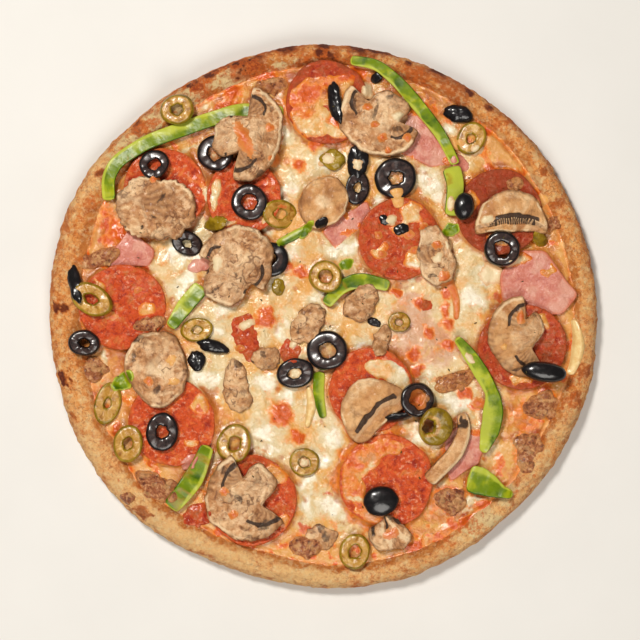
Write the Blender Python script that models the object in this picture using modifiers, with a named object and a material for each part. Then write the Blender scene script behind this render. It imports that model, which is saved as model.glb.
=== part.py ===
"""Baked pizza with ham, pepperoni, green pepper, mushrooms and olives.

Sizes and places are in millimetres, and MM turns them into Blender's metres.
+Z is up. The origin is on the table, under the middle of the crust.
Every topping is shaped flat first. It is then laid on whatever is already there,
so the order in which the toppings are made is the order in which they were put on.
"""
import math

import bmesh
import bpy
import numpy as np
from mathutils import Vector
from mathutils.bvhtree import BVHTree
from mathutils.geometry import delaunay_2d_cdt

MM = 0.001

# Driving sizes of the dough
PIZZA_RADIUS = 145.0
RIM_TOP = 15.0
BED_TOP = 7.5
RIM_WIDTH = 13.0
STEPS = 72
OUTLINE_WAVES = ((2, 1.0, -9.0), (3, 0.35, -55.0), (5, 0.65, 4.0), (6, 0.65, -20.0))
RIM_WIDTH_WAVES = ((1, 2.2, 200.0), (2, 1.5, 0.0))
RIM_LUMP = 0.15
RIM_BUBBLE = 0.14
WALL_LUMP = 1.0
LUMP_WAVELENGTH = 46.0
BUBBLE_WAVELENGTH = 19.0
WALL_WAVELENGTH = 24.0

# Driving sizes of the cheese and the toppings
CHEESE_TOP = 11.3
CHEESE_LUMP = 0.55
CHEESE_WAVELENGTH = 27.0
GAP = 0.3
SEAT = 0.05
PEPPERONI_THICK = 1.7
HAM_THICK = 1.5
PEPPER_THICK = 3.0
MUSHROOM_THICK = 4.4
SLIVER_THICK = 4.0
OLIVE_TALL = 4.8
CRUMBLE_TALL = 4.6
SUNK_MUSHROOM_TALL = 5.0
SUNK_OLIVE_TALL = 5.2
PEPPER_BIT_TALL = 3.4
SUNK = 1.5
LATTICE = 8.2
ROUGH_TOP_WAVELENGTH = 15.0

# How firm pieces rest: the steepest tilt, and shares of the height of a piece
STEEPEST = 0.35
UNDERSIDE = 0.1
BITE = 0.4
THINNEST = 0.3

# The map of how high the pizza already is, one height a millimetre
MAP_REACH = 156
MAP_STEP = 1.0


def clear_scene():
    for old in list(bpy.data.objects):
        bpy.data.objects.remove(old, do_unlink=True)


def collection(name):
    group = bpy.data.collections.new(name)
    bpy.context.scene.collection.children.link(group)
    return group


def finish(name, colour, roughness):
    material = bpy.data.materials.new(name)
    material.use_nodes = True
    shader = material.node_tree.nodes["Principled BSDF"]
    shader.inputs["Base Color"].default_value = (*colour, 1.0)
    shader.inputs["Roughness"].default_value = roughness
    shader.inputs["Metallic"].default_value = 0.0
    return material


clear_scene()
PIZZA = collection("pizza")
BAKED_CRUST = finish("baked_crust", (0.62, 0.33, 0.14), 0.75)
MELTED_CHEESE = finish("melted_cheese", (0.80, 0.66, 0.40), 0.40)
PEPPERONI = finish("pepperoni", (0.58, 0.07, 0.03), 0.40)
HAM = finish("ham", (0.68, 0.27, 0.24), 0.45)
MUSHROOM = finish("mushroom", (0.45, 0.29, 0.15), 0.60)
GREEN_PEPPER = finish("green_pepper", (0.12, 0.28, 0.02), 0.30)
BLACK_OLIVE = finish("black_olive", (0.02, 0.015, 0.02), 0.25)
GREEN_OLIVE = finish("green_olive", (0.37, 0.30, 0.04), 0.30)


def waves(angle, terms):
    """Sum of cosines: each term is an order, an amount and the angle of its crest in degrees."""
    return sum(amount * np.cos(order * (angle - math.radians(crest))) for order, amount, crest in terms)


def unevenness(x, y, size, seed):
    """Smooth bumps between about -1 and 1: eight sine waves of about one wavelength, crossing at random."""
    rng = np.random.default_rng(seed)
    total = np.zeros_like(np.asarray(x, dtype=float))
    for _ in range(8):
        heading = rng.uniform(0.0, 2.0 * math.pi)
        length = size * rng.uniform(0.7, 1.4)
        phase = rng.uniform(0.0, 2.0 * math.pi)
        along = x * math.cos(heading) + y * math.sin(heading)
        total += np.sin(2.0 * math.pi * along / length + phase)
    return total / 3.0


def turned(profile, steps, turn_round=True):
    """Turn a profile of (radius, height) points, listed down the outer side, about the Z axis."""
    mesh = bpy.data.meshes.new("profile")
    closed = profile + profile[:1] if turn_round else profile
    points = [(radius, 0.0, height) for radius, height in profile]
    count = len(closed) - 1
    mesh.from_pydata(points, [(i, (i + 1) % len(points)) for i in range(count)], [])
    guide = bpy.data.objects.new("profile", mesh)
    PIZZA.objects.link(guide)
    screw = guide.modifiers.new("turn", "SCREW")
    screw.steps = steps
    screw.render_steps = steps
    screw.use_merge_vertices = True
    screw.merge_threshold = 0.0001
    graph = bpy.context.evaluated_depsgraph_get()
    body = bmesh.new()
    body.from_object(guide, graph)
    bpy.data.objects.remove(guide, do_unlink=True)
    bpy.data.meshes.remove(mesh)
    bmesh.ops.remove_doubles(body, verts=body.verts, dist=0.001)
    bmesh.ops.recalc_face_normals(body, faces=body.faces)
    return body


def positions(body):
    return np.array([vertex.co[:] for vertex in body.verts])


def place(body, points):
    for vertex, point in zip(body.verts, points):
        vertex.co = point


def keep(name, body, material, smooth_angle=35.0):
    """Make the finished solid an object of the pizza, in metres."""
    bmesh.ops.triangulate(body, faces=body.faces)
    bmesh.ops.scale(body, vec=(MM, MM, MM), verts=body.verts)
    mesh = bpy.data.meshes.new(name)
    body.to_mesh(mesh)
    body.free()
    mesh.shade_smooth()
    mesh.set_sharp_from_angle(angle=math.radians(smooth_angle))
    mesh.materials.append(material)
    solid = bpy.data.objects.new(name, mesh)
    PIZZA.objects.link(solid)
    return solid


# Dough and cheese share these rings, so their facing sides stay parallel
BED_RINGS = [(60.0, BED_TOP), (122.0, BED_TOP), (127.4, 8.4), (130.3, 10.7)]
RIM_SIDE = [(133.0, 13.6), (137.2, RIM_TOP), (141.4, 13.3), (144.3, 9.8), (PIZZA_RADIUS, 5.8), (143.2, 1.9)]
BASE_RADIUS = 139.5
CHEESE_EDGE = (131.9, 12.9)
CHEESE_RUN = 12.0

# Where the lumps of the rim and of its outer wall begin, and the runs over which they grow
WALL_FOOT = 4.0
WALL_START = 136.0
WALL_RUN = 6.0
RISE_RUN = 9.0
BUBBLE_START = 133.5
BUBBLE_RUN = 3.0
CHEESE_RINGS = [(128.0, 12.1), (121.0, 11.4), (108.0, CHEESE_TOP), (93.0, CHEESE_TOP), (77.0, CHEESE_TOP),
                (60.0, CHEESE_TOP), (41.0, CHEESE_TOP), (21.0, CHEESE_TOP)]


def ramp(value, start, run):
    """0 up to start, then straight up to 1 over the run."""
    return np.clip((value - start) / run, 0.0, 1.0)


def to_outline(points):
    """Bring a turned circle to the hand-shaped outline, with its wider and narrower rim."""
    x, y, z = points.T
    radius = np.hypot(x, y)
    angle = np.arctan2(y, x)
    outline = PIZZA_RADIUS + waves(angle, OUTLINE_WAVES)
    width = (RIM_WIDTH + waves(angle, RIM_WIDTH_WAVES)) / RIM_WIDTH
    rim_foot = BED_RINGS[1][0]
    from_edge = PIZZA_RADIUS - np.maximum(radius, rim_foot)
    shaped = outline - from_edge * width
    shaped = np.where(radius < rim_foot, radius * shaped / rim_foot, shaped)
    wall = ramp(z, 0.0, WALL_FOOT) * ramp(radius, WALL_START, WALL_RUN)
    shaped = shaped + WALL_LUMP * wall * unevenness(x, y, WALL_WAVELENGTH, 11)
    rise = ramp(radius, rim_foot, RISE_RUN)
    bubble = ramp(radius, BUBBLE_START, BUBBLE_RUN) * RIM_BUBBLE * unevenness(x, y, BUBBLE_WAVELENGTH, 13)
    lump = RIM_LUMP * unevenness(x, y, LUMP_WAVELENGTH, 12) + bubble
    z = np.where(z > BED_TOP, BED_TOP + (z - BED_TOP) * (1.0 + rise * lump), z)
    return np.column_stack([shaped * np.cos(angle), shaped * np.sin(angle), z])


def make_crust():
    top = [(0.0, BED_TOP)] + BED_RINGS + RIM_SIDE
    body = turned(top + [(BASE_RADIUS, 0.0), (0.0, 0.0)], STEPS, turn_round=False)
    points = to_outline(positions(body))
    low = points[:, :2].min(axis=0)
    high = points[:, :2].max(axis=0)
    centre = (low + high) / 2.0
    points[:, :2] -= centre
    place(body, points)
    return keep("crust", body, BAKED_CRUST), centre


def make_cheese(centre):
    under = [(radius, height + GAP + SEAT) for radius, height in BED_RINGS]
    upper = [(0.0, CHEESE_TOP)] + CHEESE_RINGS[::-1] + [CHEESE_EDGE]
    body = turned(upper + under[::-1] + [(0.0, under[0][1])], STEPS, turn_round=False)
    flat = positions(body)
    points = to_outline(flat)
    is_top = flat[:, 2] >= CHEESE_TOP - 0.01
    inside = ramp(CHEESE_EDGE[0] - np.hypot(flat[:, 0], flat[:, 1]), 0.0, CHEESE_RUN)
    lumps = unevenness(flat[:, 0], flat[:, 1], CHEESE_WAVELENGTH, 21)
    points[:, 2] += np.where(is_top, CHEESE_LUMP * inside * lumps, 0.0)
    points[:, :2] -= centre
    place(body, points)
    return keep("cheese", body, MELTED_CHEESE)


class HeightMap:
    """The height of the pizza so far, at every millimetre."""

    def __init__(self):
        steps = np.arange(-MAP_REACH, MAP_REACH + 1) * MAP_STEP
        self.x, self.y = np.meshgrid(steps, steps, indexing="ij")
        self.height = np.zeros_like(self.x)

    def cells(self, points):
        """The slice of the map round some points."""
        low = np.floor(points[:, :2].min(axis=0)).astype(int) + MAP_REACH - 2
        high = np.ceil(points[:, :2].max(axis=0)).astype(int) + MAP_REACH + 3
        return slice(low[0], high[0]), slice(low[1], high[1])

    def cover(self, body):
        """The cells that a body stands over, and its top height there."""
        tree = BVHTree.FromBMesh(body)
        window = self.cells(positions(body))
        x, y = self.x[window], self.y[window]
        top = np.full(x.shape, -1.0)
        for index in np.ndindex(x.shape):
            hit = tree.ray_cast(Vector((x[index], y[index], 100.0)), Vector((0.0, 0.0, -1.0)))[0]
            if hit is not None:
                top[index] = hit.z
        return window, top

    def add(self, body):
        window, top = self.cover(body)
        self.height[window] = np.maximum(self.height[window], top)


def longest_edge(body):
    return max(edge.calc_length() for edge in body.edges)


def floor_under(body, ground, reach=None):
    """For each vertex, the highest ground that its own triangles cover, or that is within reach."""
    points = positions(body)
    if reach is None:
        reach = longest_edge(body) + MAP_STEP
    window, over = ground.cover(body)
    under = over > -0.5
    for axis in (0, 1):
        for shift in (-1, 1):
            under = under | np.roll(over > -0.5, shift, axis=axis)
    cell_x = ground.x[window][under]
    cell_y = ground.y[window][under]
    height = ground.height[window][under]
    away = (cell_x[None, :] - points[:, 0:1]) ** 2 + (cell_y[None, :] - points[:, 1:2]) ** 2
    return np.where(away <= reach ** 2, height[None, :], 0.0).max(axis=1)


def flat_top(body, floor, tall):
    """Bring the underside of a firm piece to the floor, and keep its top flat, tilted as the floor tilts."""
    points = positions(body)
    spots = np.column_stack([np.ones(len(points)), points[:, :2] - points[:, :2].mean(axis=0)])
    tilt = np.linalg.lstsq(spots, floor, rcond=None)[0]
    steep = np.hypot(tilt[1], tilt[2])
    tilt[1:] *= min(1.0, STEEPEST / max(steep, 1e-6))
    plane = spots @ tilt
    plane = plane + max(0.0, (floor - plane).max() - BITE * tall)
    is_low = points[:, 2] < UNDERSIDE * tall
    lowest = floor + GAP + THINNEST * points[:, 2]
    points[:, 2] = np.where(is_low, floor, np.maximum(plane + points[:, 2], lowest))
    place(body, points)


def drape(body, floor, stiff):
    """Rest a bending piece on the floor: the stiffer it is, the more it is smoothed upwards."""
    body.verts.ensure_lookup_table()
    for _ in range(stiff):
        mean = np.array([np.mean([floor[edge.other_vert(vertex).index] for edge in vertex.link_edges])
                         for vertex in body.verts])
        floor = np.maximum(floor, mean)
    points = positions(body)
    points[:, 2] += floor
    place(body, points)


LATTICE_HALF = 40
CLEAR_OF_EDGE = 0.62
EDGE_HEIGHT = 0.8


def outline_mesh(outline, spacing):
    """Fill a flat outline with even triangles, on a lattice of the given spacing."""
    points = np.array(outline)
    rows = spacing * math.sqrt(3.0) / 2.0
    low, high = points.min(axis=0), points.max(axis=0)
    lattice = []
    middle = (low + high) / 2.0
    for row in range(-LATTICE_HALF, LATTICE_HALF + 1):
        y = middle[1] + row * rows
        if low[1] < y < high[1]:
            for column in range(-LATTICE_HALF, LATTICE_HALF + 1):
                lattice.append((middle[0] + (column + 0.5 * (row % 2)) * spacing, y))
    near_edge = CLEAR_OF_EDGE * spacing
    starts, ends = points, np.roll(points, -1, axis=0)
    kept = []
    for spot in lattice:
        side = ends - starts
        along = np.clip(((spot - starts) * side).sum(axis=1) / (side ** 2).sum(axis=1), 0.0, 1.0)
        distance = np.hypot(*(starts + side * along[:, None] - spot).T).min()
        crosses = (starts[:, 1] > spot[1]) != (ends[:, 1] > spot[1])
        rise = np.where(crosses, ends[:, 1] - starts[:, 1], 1.0)
        meets = starts[:, 0] + (spot[1] - starts[:, 1]) / rise * side[:, 0]
        if np.count_nonzero(crosses & (meets > spot[0])) % 2 and distance > near_edge:
            kept.append(spot)
    corners = [Vector(point) for point in outline] + [Vector(spot) for spot in kept]
    edges = [(i, (i + 1) % len(outline)) for i in range(len(outline))]
    vertices, _, faces, _, _, _ = delaunay_2d_cdt(corners, edges, [], 1, 1e-5)
    body = bmesh.new()
    made = [body.verts.new((point.x, point.y, 0.0)) for point in vertices]
    for face in faces:
        body.faces.new([made[i] for i in face])
    loose = [vertex for vertex in body.verts if not vertex.link_faces]
    bmesh.ops.delete(body, geom=loose, context="VERTS")
    bmesh.ops.recalc_face_normals(body, faces=body.faces)
    return body


def slab(outline, thickness, spacing=LATTICE, soft_edge=0.8, relief=0.0, seed=1):
    """A flat piece: a filled outline, extruded upwards, with both faces split alike.

    The top edge is drawn in by soft_edge, and relief makes the top uneven.
    """
    body = outline_mesh(outline, spacing)
    rim = {vertex for vertex in body.verts if vertex.is_boundary}
    middle = np.mean(np.array(outline), axis=0)
    lifted = bmesh.ops.extrude_face_region(body, geom=list(body.faces))["geom"]
    upper = [item for item in lifted if isinstance(item, bmesh.types.BMVert)]
    rim_places = {tuple(round(value, 4) for value in vertex.co[:2]) for vertex in rim}
    for vertex in upper:
        x, y = vertex.co[:2]
        vertex.co.z = thickness * (1.0 + relief * float(unevenness(x, y, ROUGH_TOP_WAVELENGTH, seed)))
        if tuple(round(value, 4) for value in (x, y)) in rim_places:
            inward = Vector((middle[0] - x, middle[1] - y, 0.0)).normalized() * soft_edge
            vertex.co += inward
            vertex.co.z = thickness * EDGE_HEIGHT
    bmesh.ops.recalc_face_normals(body, faces=body.faces)
    return body


def curl_up(body, middle, radius, amount):
    """Lift a slice towards its edge, as fat renders out and it cups."""
    for vertex in body.verts:
        away = math.hypot(vertex.co.x - middle[0], vertex.co.y - middle[1]) / radius
        vertex.co.z += amount * min(away, 1.0) ** 3


def turned_about(points, middle, degrees):
    angle = math.radians(degrees)
    cosine, sine = math.cos(angle), math.sin(angle)
    return [(middle[0] + x * cosine - y * sine, middle[1] + x * sine + y * cosine) for x, y in points]


def round_outline(middle, wide, high, degrees=0.0, count=16, ragged=0.03, seed=1, squareness=0.0):
    """An ellipse of the given width and height, with a ragged and perhaps squarer edge."""
    angle = np.linspace(0.0, 2.0 * math.pi, count, endpoint=False)
    rough = 1.0 + ragged * unevenness(np.cos(angle), np.sin(angle), 1.3, seed)
    rough = rough * (1.0 + squareness * np.sin(2.0 * angle) ** 2)
    points = np.column_stack([np.cos(angle) * wide / 2.0 * rough, np.sin(angle) * high / 2.0 * rough])
    return turned_about(points, middle, degrees)


# The mushroom's cap is an arc, and its stem is given as shares of the stem's width and length
CAP_ARC = (-12.0, 192.0)
CAP_POINTS = 13
CAP_LIP = (0.27, -0.10)
CAP_RAGGED = 0.03
STEM_NECK = -0.02
STEM_CORNERS = ((-0.52, -0.75), (-0.30, -1.00), (0.36, -0.96), (0.55, -0.60))


def mushroom_outline(middle, wide, high, degrees, stem_wide, stem_long, stem_lean=0.0, seed=1):
    """A slice through a mushroom: the arc of its cap, its curled lips and its stem.

    The cap's crown points along degrees. wide is measured across it and high along it.
    """
    cap_high = high - stem_long
    angle = np.radians(np.linspace(*CAP_ARC, CAP_POINTS))
    rough = 1.0 + CAP_RAGGED * unevenness(np.cos(angle), np.sin(angle), 1.1, seed)
    cap = np.column_stack([np.cos(angle) * wide / 2.0 * rough, np.sin(angle) * cap_high * rough])
    points = [tuple(point) for point in cap]
    points.append((-CAP_LIP[0] * wide, CAP_LIP[1] * cap_high))
    if stem_long > 0.0:
        foot = stem_lean * stem_long
        points.append((-stem_wide / 2.0, STEM_NECK * cap_high))
        points.extend((foot + across * stem_wide, along * stem_long) for across, along in STEM_CORNERS)
        points.append((stem_wide / 2.0, STEM_NECK * cap_high))
    points.append((CAP_LIP[0] * wide, CAP_LIP[1] * cap_high))
    shift = (cap_high - stem_long) / 2.0
    points = [(x, y - shift) for x, y in points]
    return turned_about(points, middle, degrees - 90.0)


def strip_outline(route, widths, spacing):
    """A strip along a smooth route: widths are given at even steps from its start to its end."""
    route = np.array(route, dtype=float)
    knots = np.concatenate([[0.0], np.cumsum(np.hypot(*np.diff(route, axis=0).T))])
    count = max(3, int(round(knots[-1] / spacing)) + 1)
    at = np.linspace(0.0, knots[-1], count)
    x = np.interp(at, knots, route[:, 0])
    y = np.interp(at, knots, route[:, 1])
    for _ in range(2):
        x[1:-1] = (x[:-2] + 2.0 * x[1:-1] + x[2:]) / 4.0
        y[1:-1] = (y[:-2] + 2.0 * y[1:-1] + y[2:]) / 4.0
    ahead = np.column_stack([np.gradient(x), np.gradient(y)])
    ahead /= np.hypot(*ahead.T)[:, None]
    half = np.interp(at / knots[-1], np.linspace(0.0, 1.0, len(widths)), widths)[:, None] / 2.0
    centre = np.column_stack([x, y])
    aside = np.column_stack([-ahead[:, 1], ahead[:, 0]])
    left = centre + aside * half
    right = centre - aside * half
    return [tuple(point) for point in np.vstack([right, left[::-1]])]


def sheet_outline(corners, spacing=8.0, wave=1.0, seed=1):
    """A torn sheet: straight runs between its corners, each a little wavy."""
    points = []
    for start, end in zip(corners, corners[1:] + corners[:1]):
        start, end = np.array(start, dtype=float), np.array(end, dtype=float)
        run = max(2, int(round(np.hypot(*(end - start)) / spacing)))
        aside = np.array([start[1] - end[1], end[0] - start[0]]) / np.hypot(*(end - start))
        for step in range(run):
            spot = start + (end - start) * step / run
            bend = wave * float(unevenness(spot[0], spot[1], 21.0, seed)) * math.sin(math.pi * step / run)
            points.append(tuple(spot + aside * bend))
    return points


def olive_ring(middle, long, wide, hole, degrees=0.0, tall=OLIVE_TALL, steps=13):
    """A slice across an olive: a turned ring with a rounded skin side, pressed to an oval."""
    inner = hole / 2.0
    profile = [(0.46, tall), (0.5, 0.5 * tall), (0.47, 0.0)]
    profile = [(share * long, height) for share, height in profile]
    body = turned(profile + [(inner, 0.0), (inner, tall)], steps)
    return press(body, middle, wide / long, degrees)


def olive_end(middle, long, wide, degrees=0.0, tall=OLIVE_TALL, steps=12):
    """The end cut from an olive, or a whole small one: a low dome, flat below."""
    profile = [(0.0, tall), (0.22 * long, 0.93 * tall), (0.42 * long, 0.58 * tall), (0.5 * long, 0.2 * tall)]
    body = turned(profile + [(0.46 * long, 0.0), (0.0, 0.0)], steps, turn_round=False)
    return press(body, middle, wide / long, degrees)


def press(body, middle, ratio, degrees):
    points = positions(body)
    flat = turned_about([(x, y * ratio) for x, y in points[:, :2]], middle, degrees)
    place(body, [(x, y, z) for (x, y), z in zip(flat, points[:, 2])])
    return body


def crumble(middle, long, wide, degrees, tall, seed):
    """A rough lump: a low dome with an uneven side."""
    body = olive_end((0.0, 0.0), long, wide, 0.0, tall, CRUMBLE_STEPS)
    points = positions(body)
    rough = 1.0 + CRUMBLE_RAGGED * unevenness(points[:, 0], points[:, 1], 0.9 * wide, seed)
    points[:, :2] *= rough[:, None]
    flat = turned_about(points[:, :2], middle, degrees)
    place(body, [(x, y, z) for (x, y), z in zip(flat, points[:, 2])])
    return body


CRUMBLE_STEPS = 9
CRUMBLE_RAGGED = 0.13

# Small toppings that are baked into the cheese: middle, length, width, turn
CRUMBLES = (
    ((-121, -28), 14, 11, 80), ((-89, -89), 22, 12, -35), ((115, -47), 17, 14, 30),
    ((69, -34), 18, 10, 20), ((-10, -122), 17, 12, 0), ((67, -97), 15, 14, 0), ((-117, 33), 15, 9, 60),
)
SUNK_MUSHROOMS = (
    ((-30, -22), 15, 13, 20), ((-9, -4), 22, 17, 60), ((20, 7), 23, 18, 20), ((30, -13), 17, 9, 80),
    ((-46, -37), 33, 16, 95),
)
SUNK_BLACK_RINGS = (((-74, 41), 16, 13, 5, -20), ((18, 68), 17, 12, 5, 80))
SUNK_BLACK_ENDS = (((71, 107), 16, 10, -15), ((18, 82), 16, 9, 85), ((-58, -16), 17, 7, -15))
SUNK_GREEN_RINGS = (
    ((78, 94), 17, 14, 5, 60), ((-23, 54), 17, 14, 6, 0), ((40, -3), 11, 10, 4, 0),
    ((-10, -77), 15, 14, 6, 0), ((-67, -7), 16, 12, 5, 10), ((-114, -46), 21, 13, 5, 75),
)
SUNK_GREEN_ENDS = (((-57, 49), 14, 9, 10), ((5, 83), 13, 12, 0))
PEPPER_BITS = (((67, 45), 9, 8, 0), ((-106, -34), 13, 11, 40), ((-9, 46), 12, 5, 50))


def sunk_bodies():
    """Every small topping that the cheese holds, still flat and unplaced."""
    for index, (middle, long, wide, turn) in enumerate(CRUMBLES):
        yield crumble(middle, long, wide, turn, CRUMBLE_TALL, 60 + index)
    for index, (middle, long, wide, turn) in enumerate(SUNK_MUSHROOMS):
        yield crumble(middle, long, wide, turn, SUNK_MUSHROOM_TALL, 80 + index)
    for middle, long, wide, hole, turn in SUNK_BLACK_RINGS + SUNK_GREEN_RINGS:
        yield olive_ring(middle, long, wide, hole, turn, OLIVE_TALL, 10)
    for middle, long, wide, turn in SUNK_BLACK_ENDS + SUNK_GREEN_ENDS:
        yield olive_end(middle, long, wide, turn, SUNK_OLIVE_TALL, 9)
    for middle, long, wide, turn in PEPPER_BITS:
        yield olive_end(middle, long, wide, turn, PEPPER_BIT_TALL, 8)


def join_to_cheese(cheese, dough, ground):
    """Sink the small toppings into the cheese and make them one solid with it."""
    bumps = collection("sunk_toppings")
    near = 1.5 * MAP_STEP
    for number, body in enumerate(sunk_bodies()):
        tall = positions(body)[:, 2].max()
        lowest = floor_under(body, dough, near) + 2.0 * GAP
        flat_top(body, np.maximum(floor_under(body, ground, near) - SUNK, lowest), tall)
        bmesh.ops.scale(body, vec=(MM, MM, MM), verts=body.verts)
        mesh = bpy.data.meshes.new(f"sunk_{number:02d}")
        body.to_mesh(mesh)
        body.free()
        bump = bpy.data.objects.new(mesh.name, mesh)
        bump.hide_render = True
        bump.display_type = "WIRE"
        bumps.objects.link(bump)
    union = cheese.modifiers.new("join", "BOOLEAN")
    union.operation = "UNION"
    union.operand_type = "COLLECTION"
    union.collection = bumps
    union.solver = "EXACT"
    graph = bpy.context.evaluated_depsgraph_get()
    joined = bpy.data.meshes.new_from_object(cheese.evaluated_get(graph))
    cheese.modifiers.clear()
    cheese.data = joined
    for bump in list(bumps.objects):
        bpy.data.objects.remove(bump, do_unlink=True)
    bpy.data.collections.remove(bumps)


def in_millimetres(solid):
    """A copy of a finished solid's mesh, back in millimetres."""
    body = bmesh.new()
    body.from_mesh(solid.data)
    bmesh.ops.scale(body, vec=(1.0 / MM,) * 3, verts=body.verts)
    return body


def put(name, body, ground, material, stiff):
    drape(body, floor_under(body, ground) + GAP, stiff)
    ground.add(body)
    keep(name, body, material)


def put_pepperoni(number, middle, radius, ground, curl=0.6):
    outline = round_outline(middle, 2 * radius, 2 * radius, count=18, ragged=0.02, seed=100 + number)
    body = slab(outline, PEPPERONI_THICK, soft_edge=0.5)
    curl_up(body, middle, radius, curl)
    put(f"pepperoni_{number:02d}", body, ground, PEPPERONI, 1)


def put_ham(number, corners, ground):
    outline = sheet_outline(corners, seed=200 + number)
    body = slab(outline, HAM_THICK, soft_edge=0.4)
    put(f"ham_{number:02d}", body, ground, HAM, 1)


def put_pepper(number, route, widths, ground):
    body = slab(strip_outline(route, widths, 8.0), PEPPER_THICK, spacing=12.0, soft_edge=0.9)
    put(f"pepper_{number:02d}", body, ground, GREEN_PEPPER, 2)


def put_mushroom(number, outline, ground, thick=MUSHROOM_THICK):
    body = slab(outline, thick, soft_edge=0.9, relief=0.10, seed=300 + number)
    put(f"mushroom_{number:02d}", body, ground, MUSHROOM, 3)


def put_olive(name, body, ground, material):
    tall = positions(body)[:, 2].max()
    flat_top(body, floor_under(body, ground) + GAP, tall)
    ground.add(body)
    keep(name, body, material)


def make_first_layer(ground):
    """Ham and pepperoni, which lie straight on the cheese."""
    put_ham(1, [(-116, 27), (-103, 46), (-89, 35), (-92, 27)], ground)
    put_ham(2, [(44, 111), (58, 96), (71, 81), (56, 79), (41, 86)], ground)
    put_ham(3, [(-1, 45), (6, 36), (27, 53), (23, 62)], ground)
    put_ham(4, [(93, 22), (102, 35), (117, 35), (135, 12), (126, 1), (100, 0), (94, 10)], ground)
    put_ham(5, [(62, -70), (70, -58), (85, -60), (82, -78), (67, -88)], ground)
    put_pepperoni(1, (2, 113), 22, ground)
    put_pepperoni(2, (-84, 66), 22.5, ground)
    put_pepperoni(3, (-42, 63), 20, ground)
    put_pepperoni(4, (-106, 5), 23, ground)
    put_pepperoni(5, (-80, -56), 23, ground)
    put_pepperoni(6, (-38, -97), 24, ground)
    put_pepperoni(7, (93, 55), 23, ground)
    put_pepperoni(8, (40, 41), 22, ground)
    put_pepperoni(9, (105, -16), 23, ground, curl=1.6)
    put_pepperoni(10, (25, -39), 22.5, ground)
    put_pepperoni(11, (33, -87), 25, ground)


def make_peppers(ground):
    longest = [(-113, 61), (-114, 73), (-109, 82), (-93, 92), (-63, 103), (-44, 109), (-21, 107)]
    put_pepper(1, longest, (7, 8, 8), ground)
    put_pepper(2, [(14, 135), (28, 133), (40, 123), (52, 109), (62, 96), (70, 80)], (5, 7, 5), ground)
    put_pepper(3, [(67, 79), (70, 69), (67, 53)], (10, 9, 7), ground)
    put_pepper(4, [(35, 16), (20, 20), (9, 16), (1, 6)], (6, 8, 6), ground)
    put_pepper(5, [(-64, 16), (-73, 6), (-81, -6)], (9, 9, 6), ground)
    put_pepper(6, [(-61, -68), (-67, -83), (-73, -92), (-81, -101)], (7, 11, 9), ground)
    leaf = [(70, -11), (77, -20), (84, -31), (90, -42), (89, -57), (84, -72)]
    put_pepper(7, leaf, (4, 7, 8, 7, 11, 10, 4), ground)
    put_pepper(8, [(76, -85), (84, -87), (92, -92), (100, -94)], (14, 15, 12, 7, 4), ground)


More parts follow.
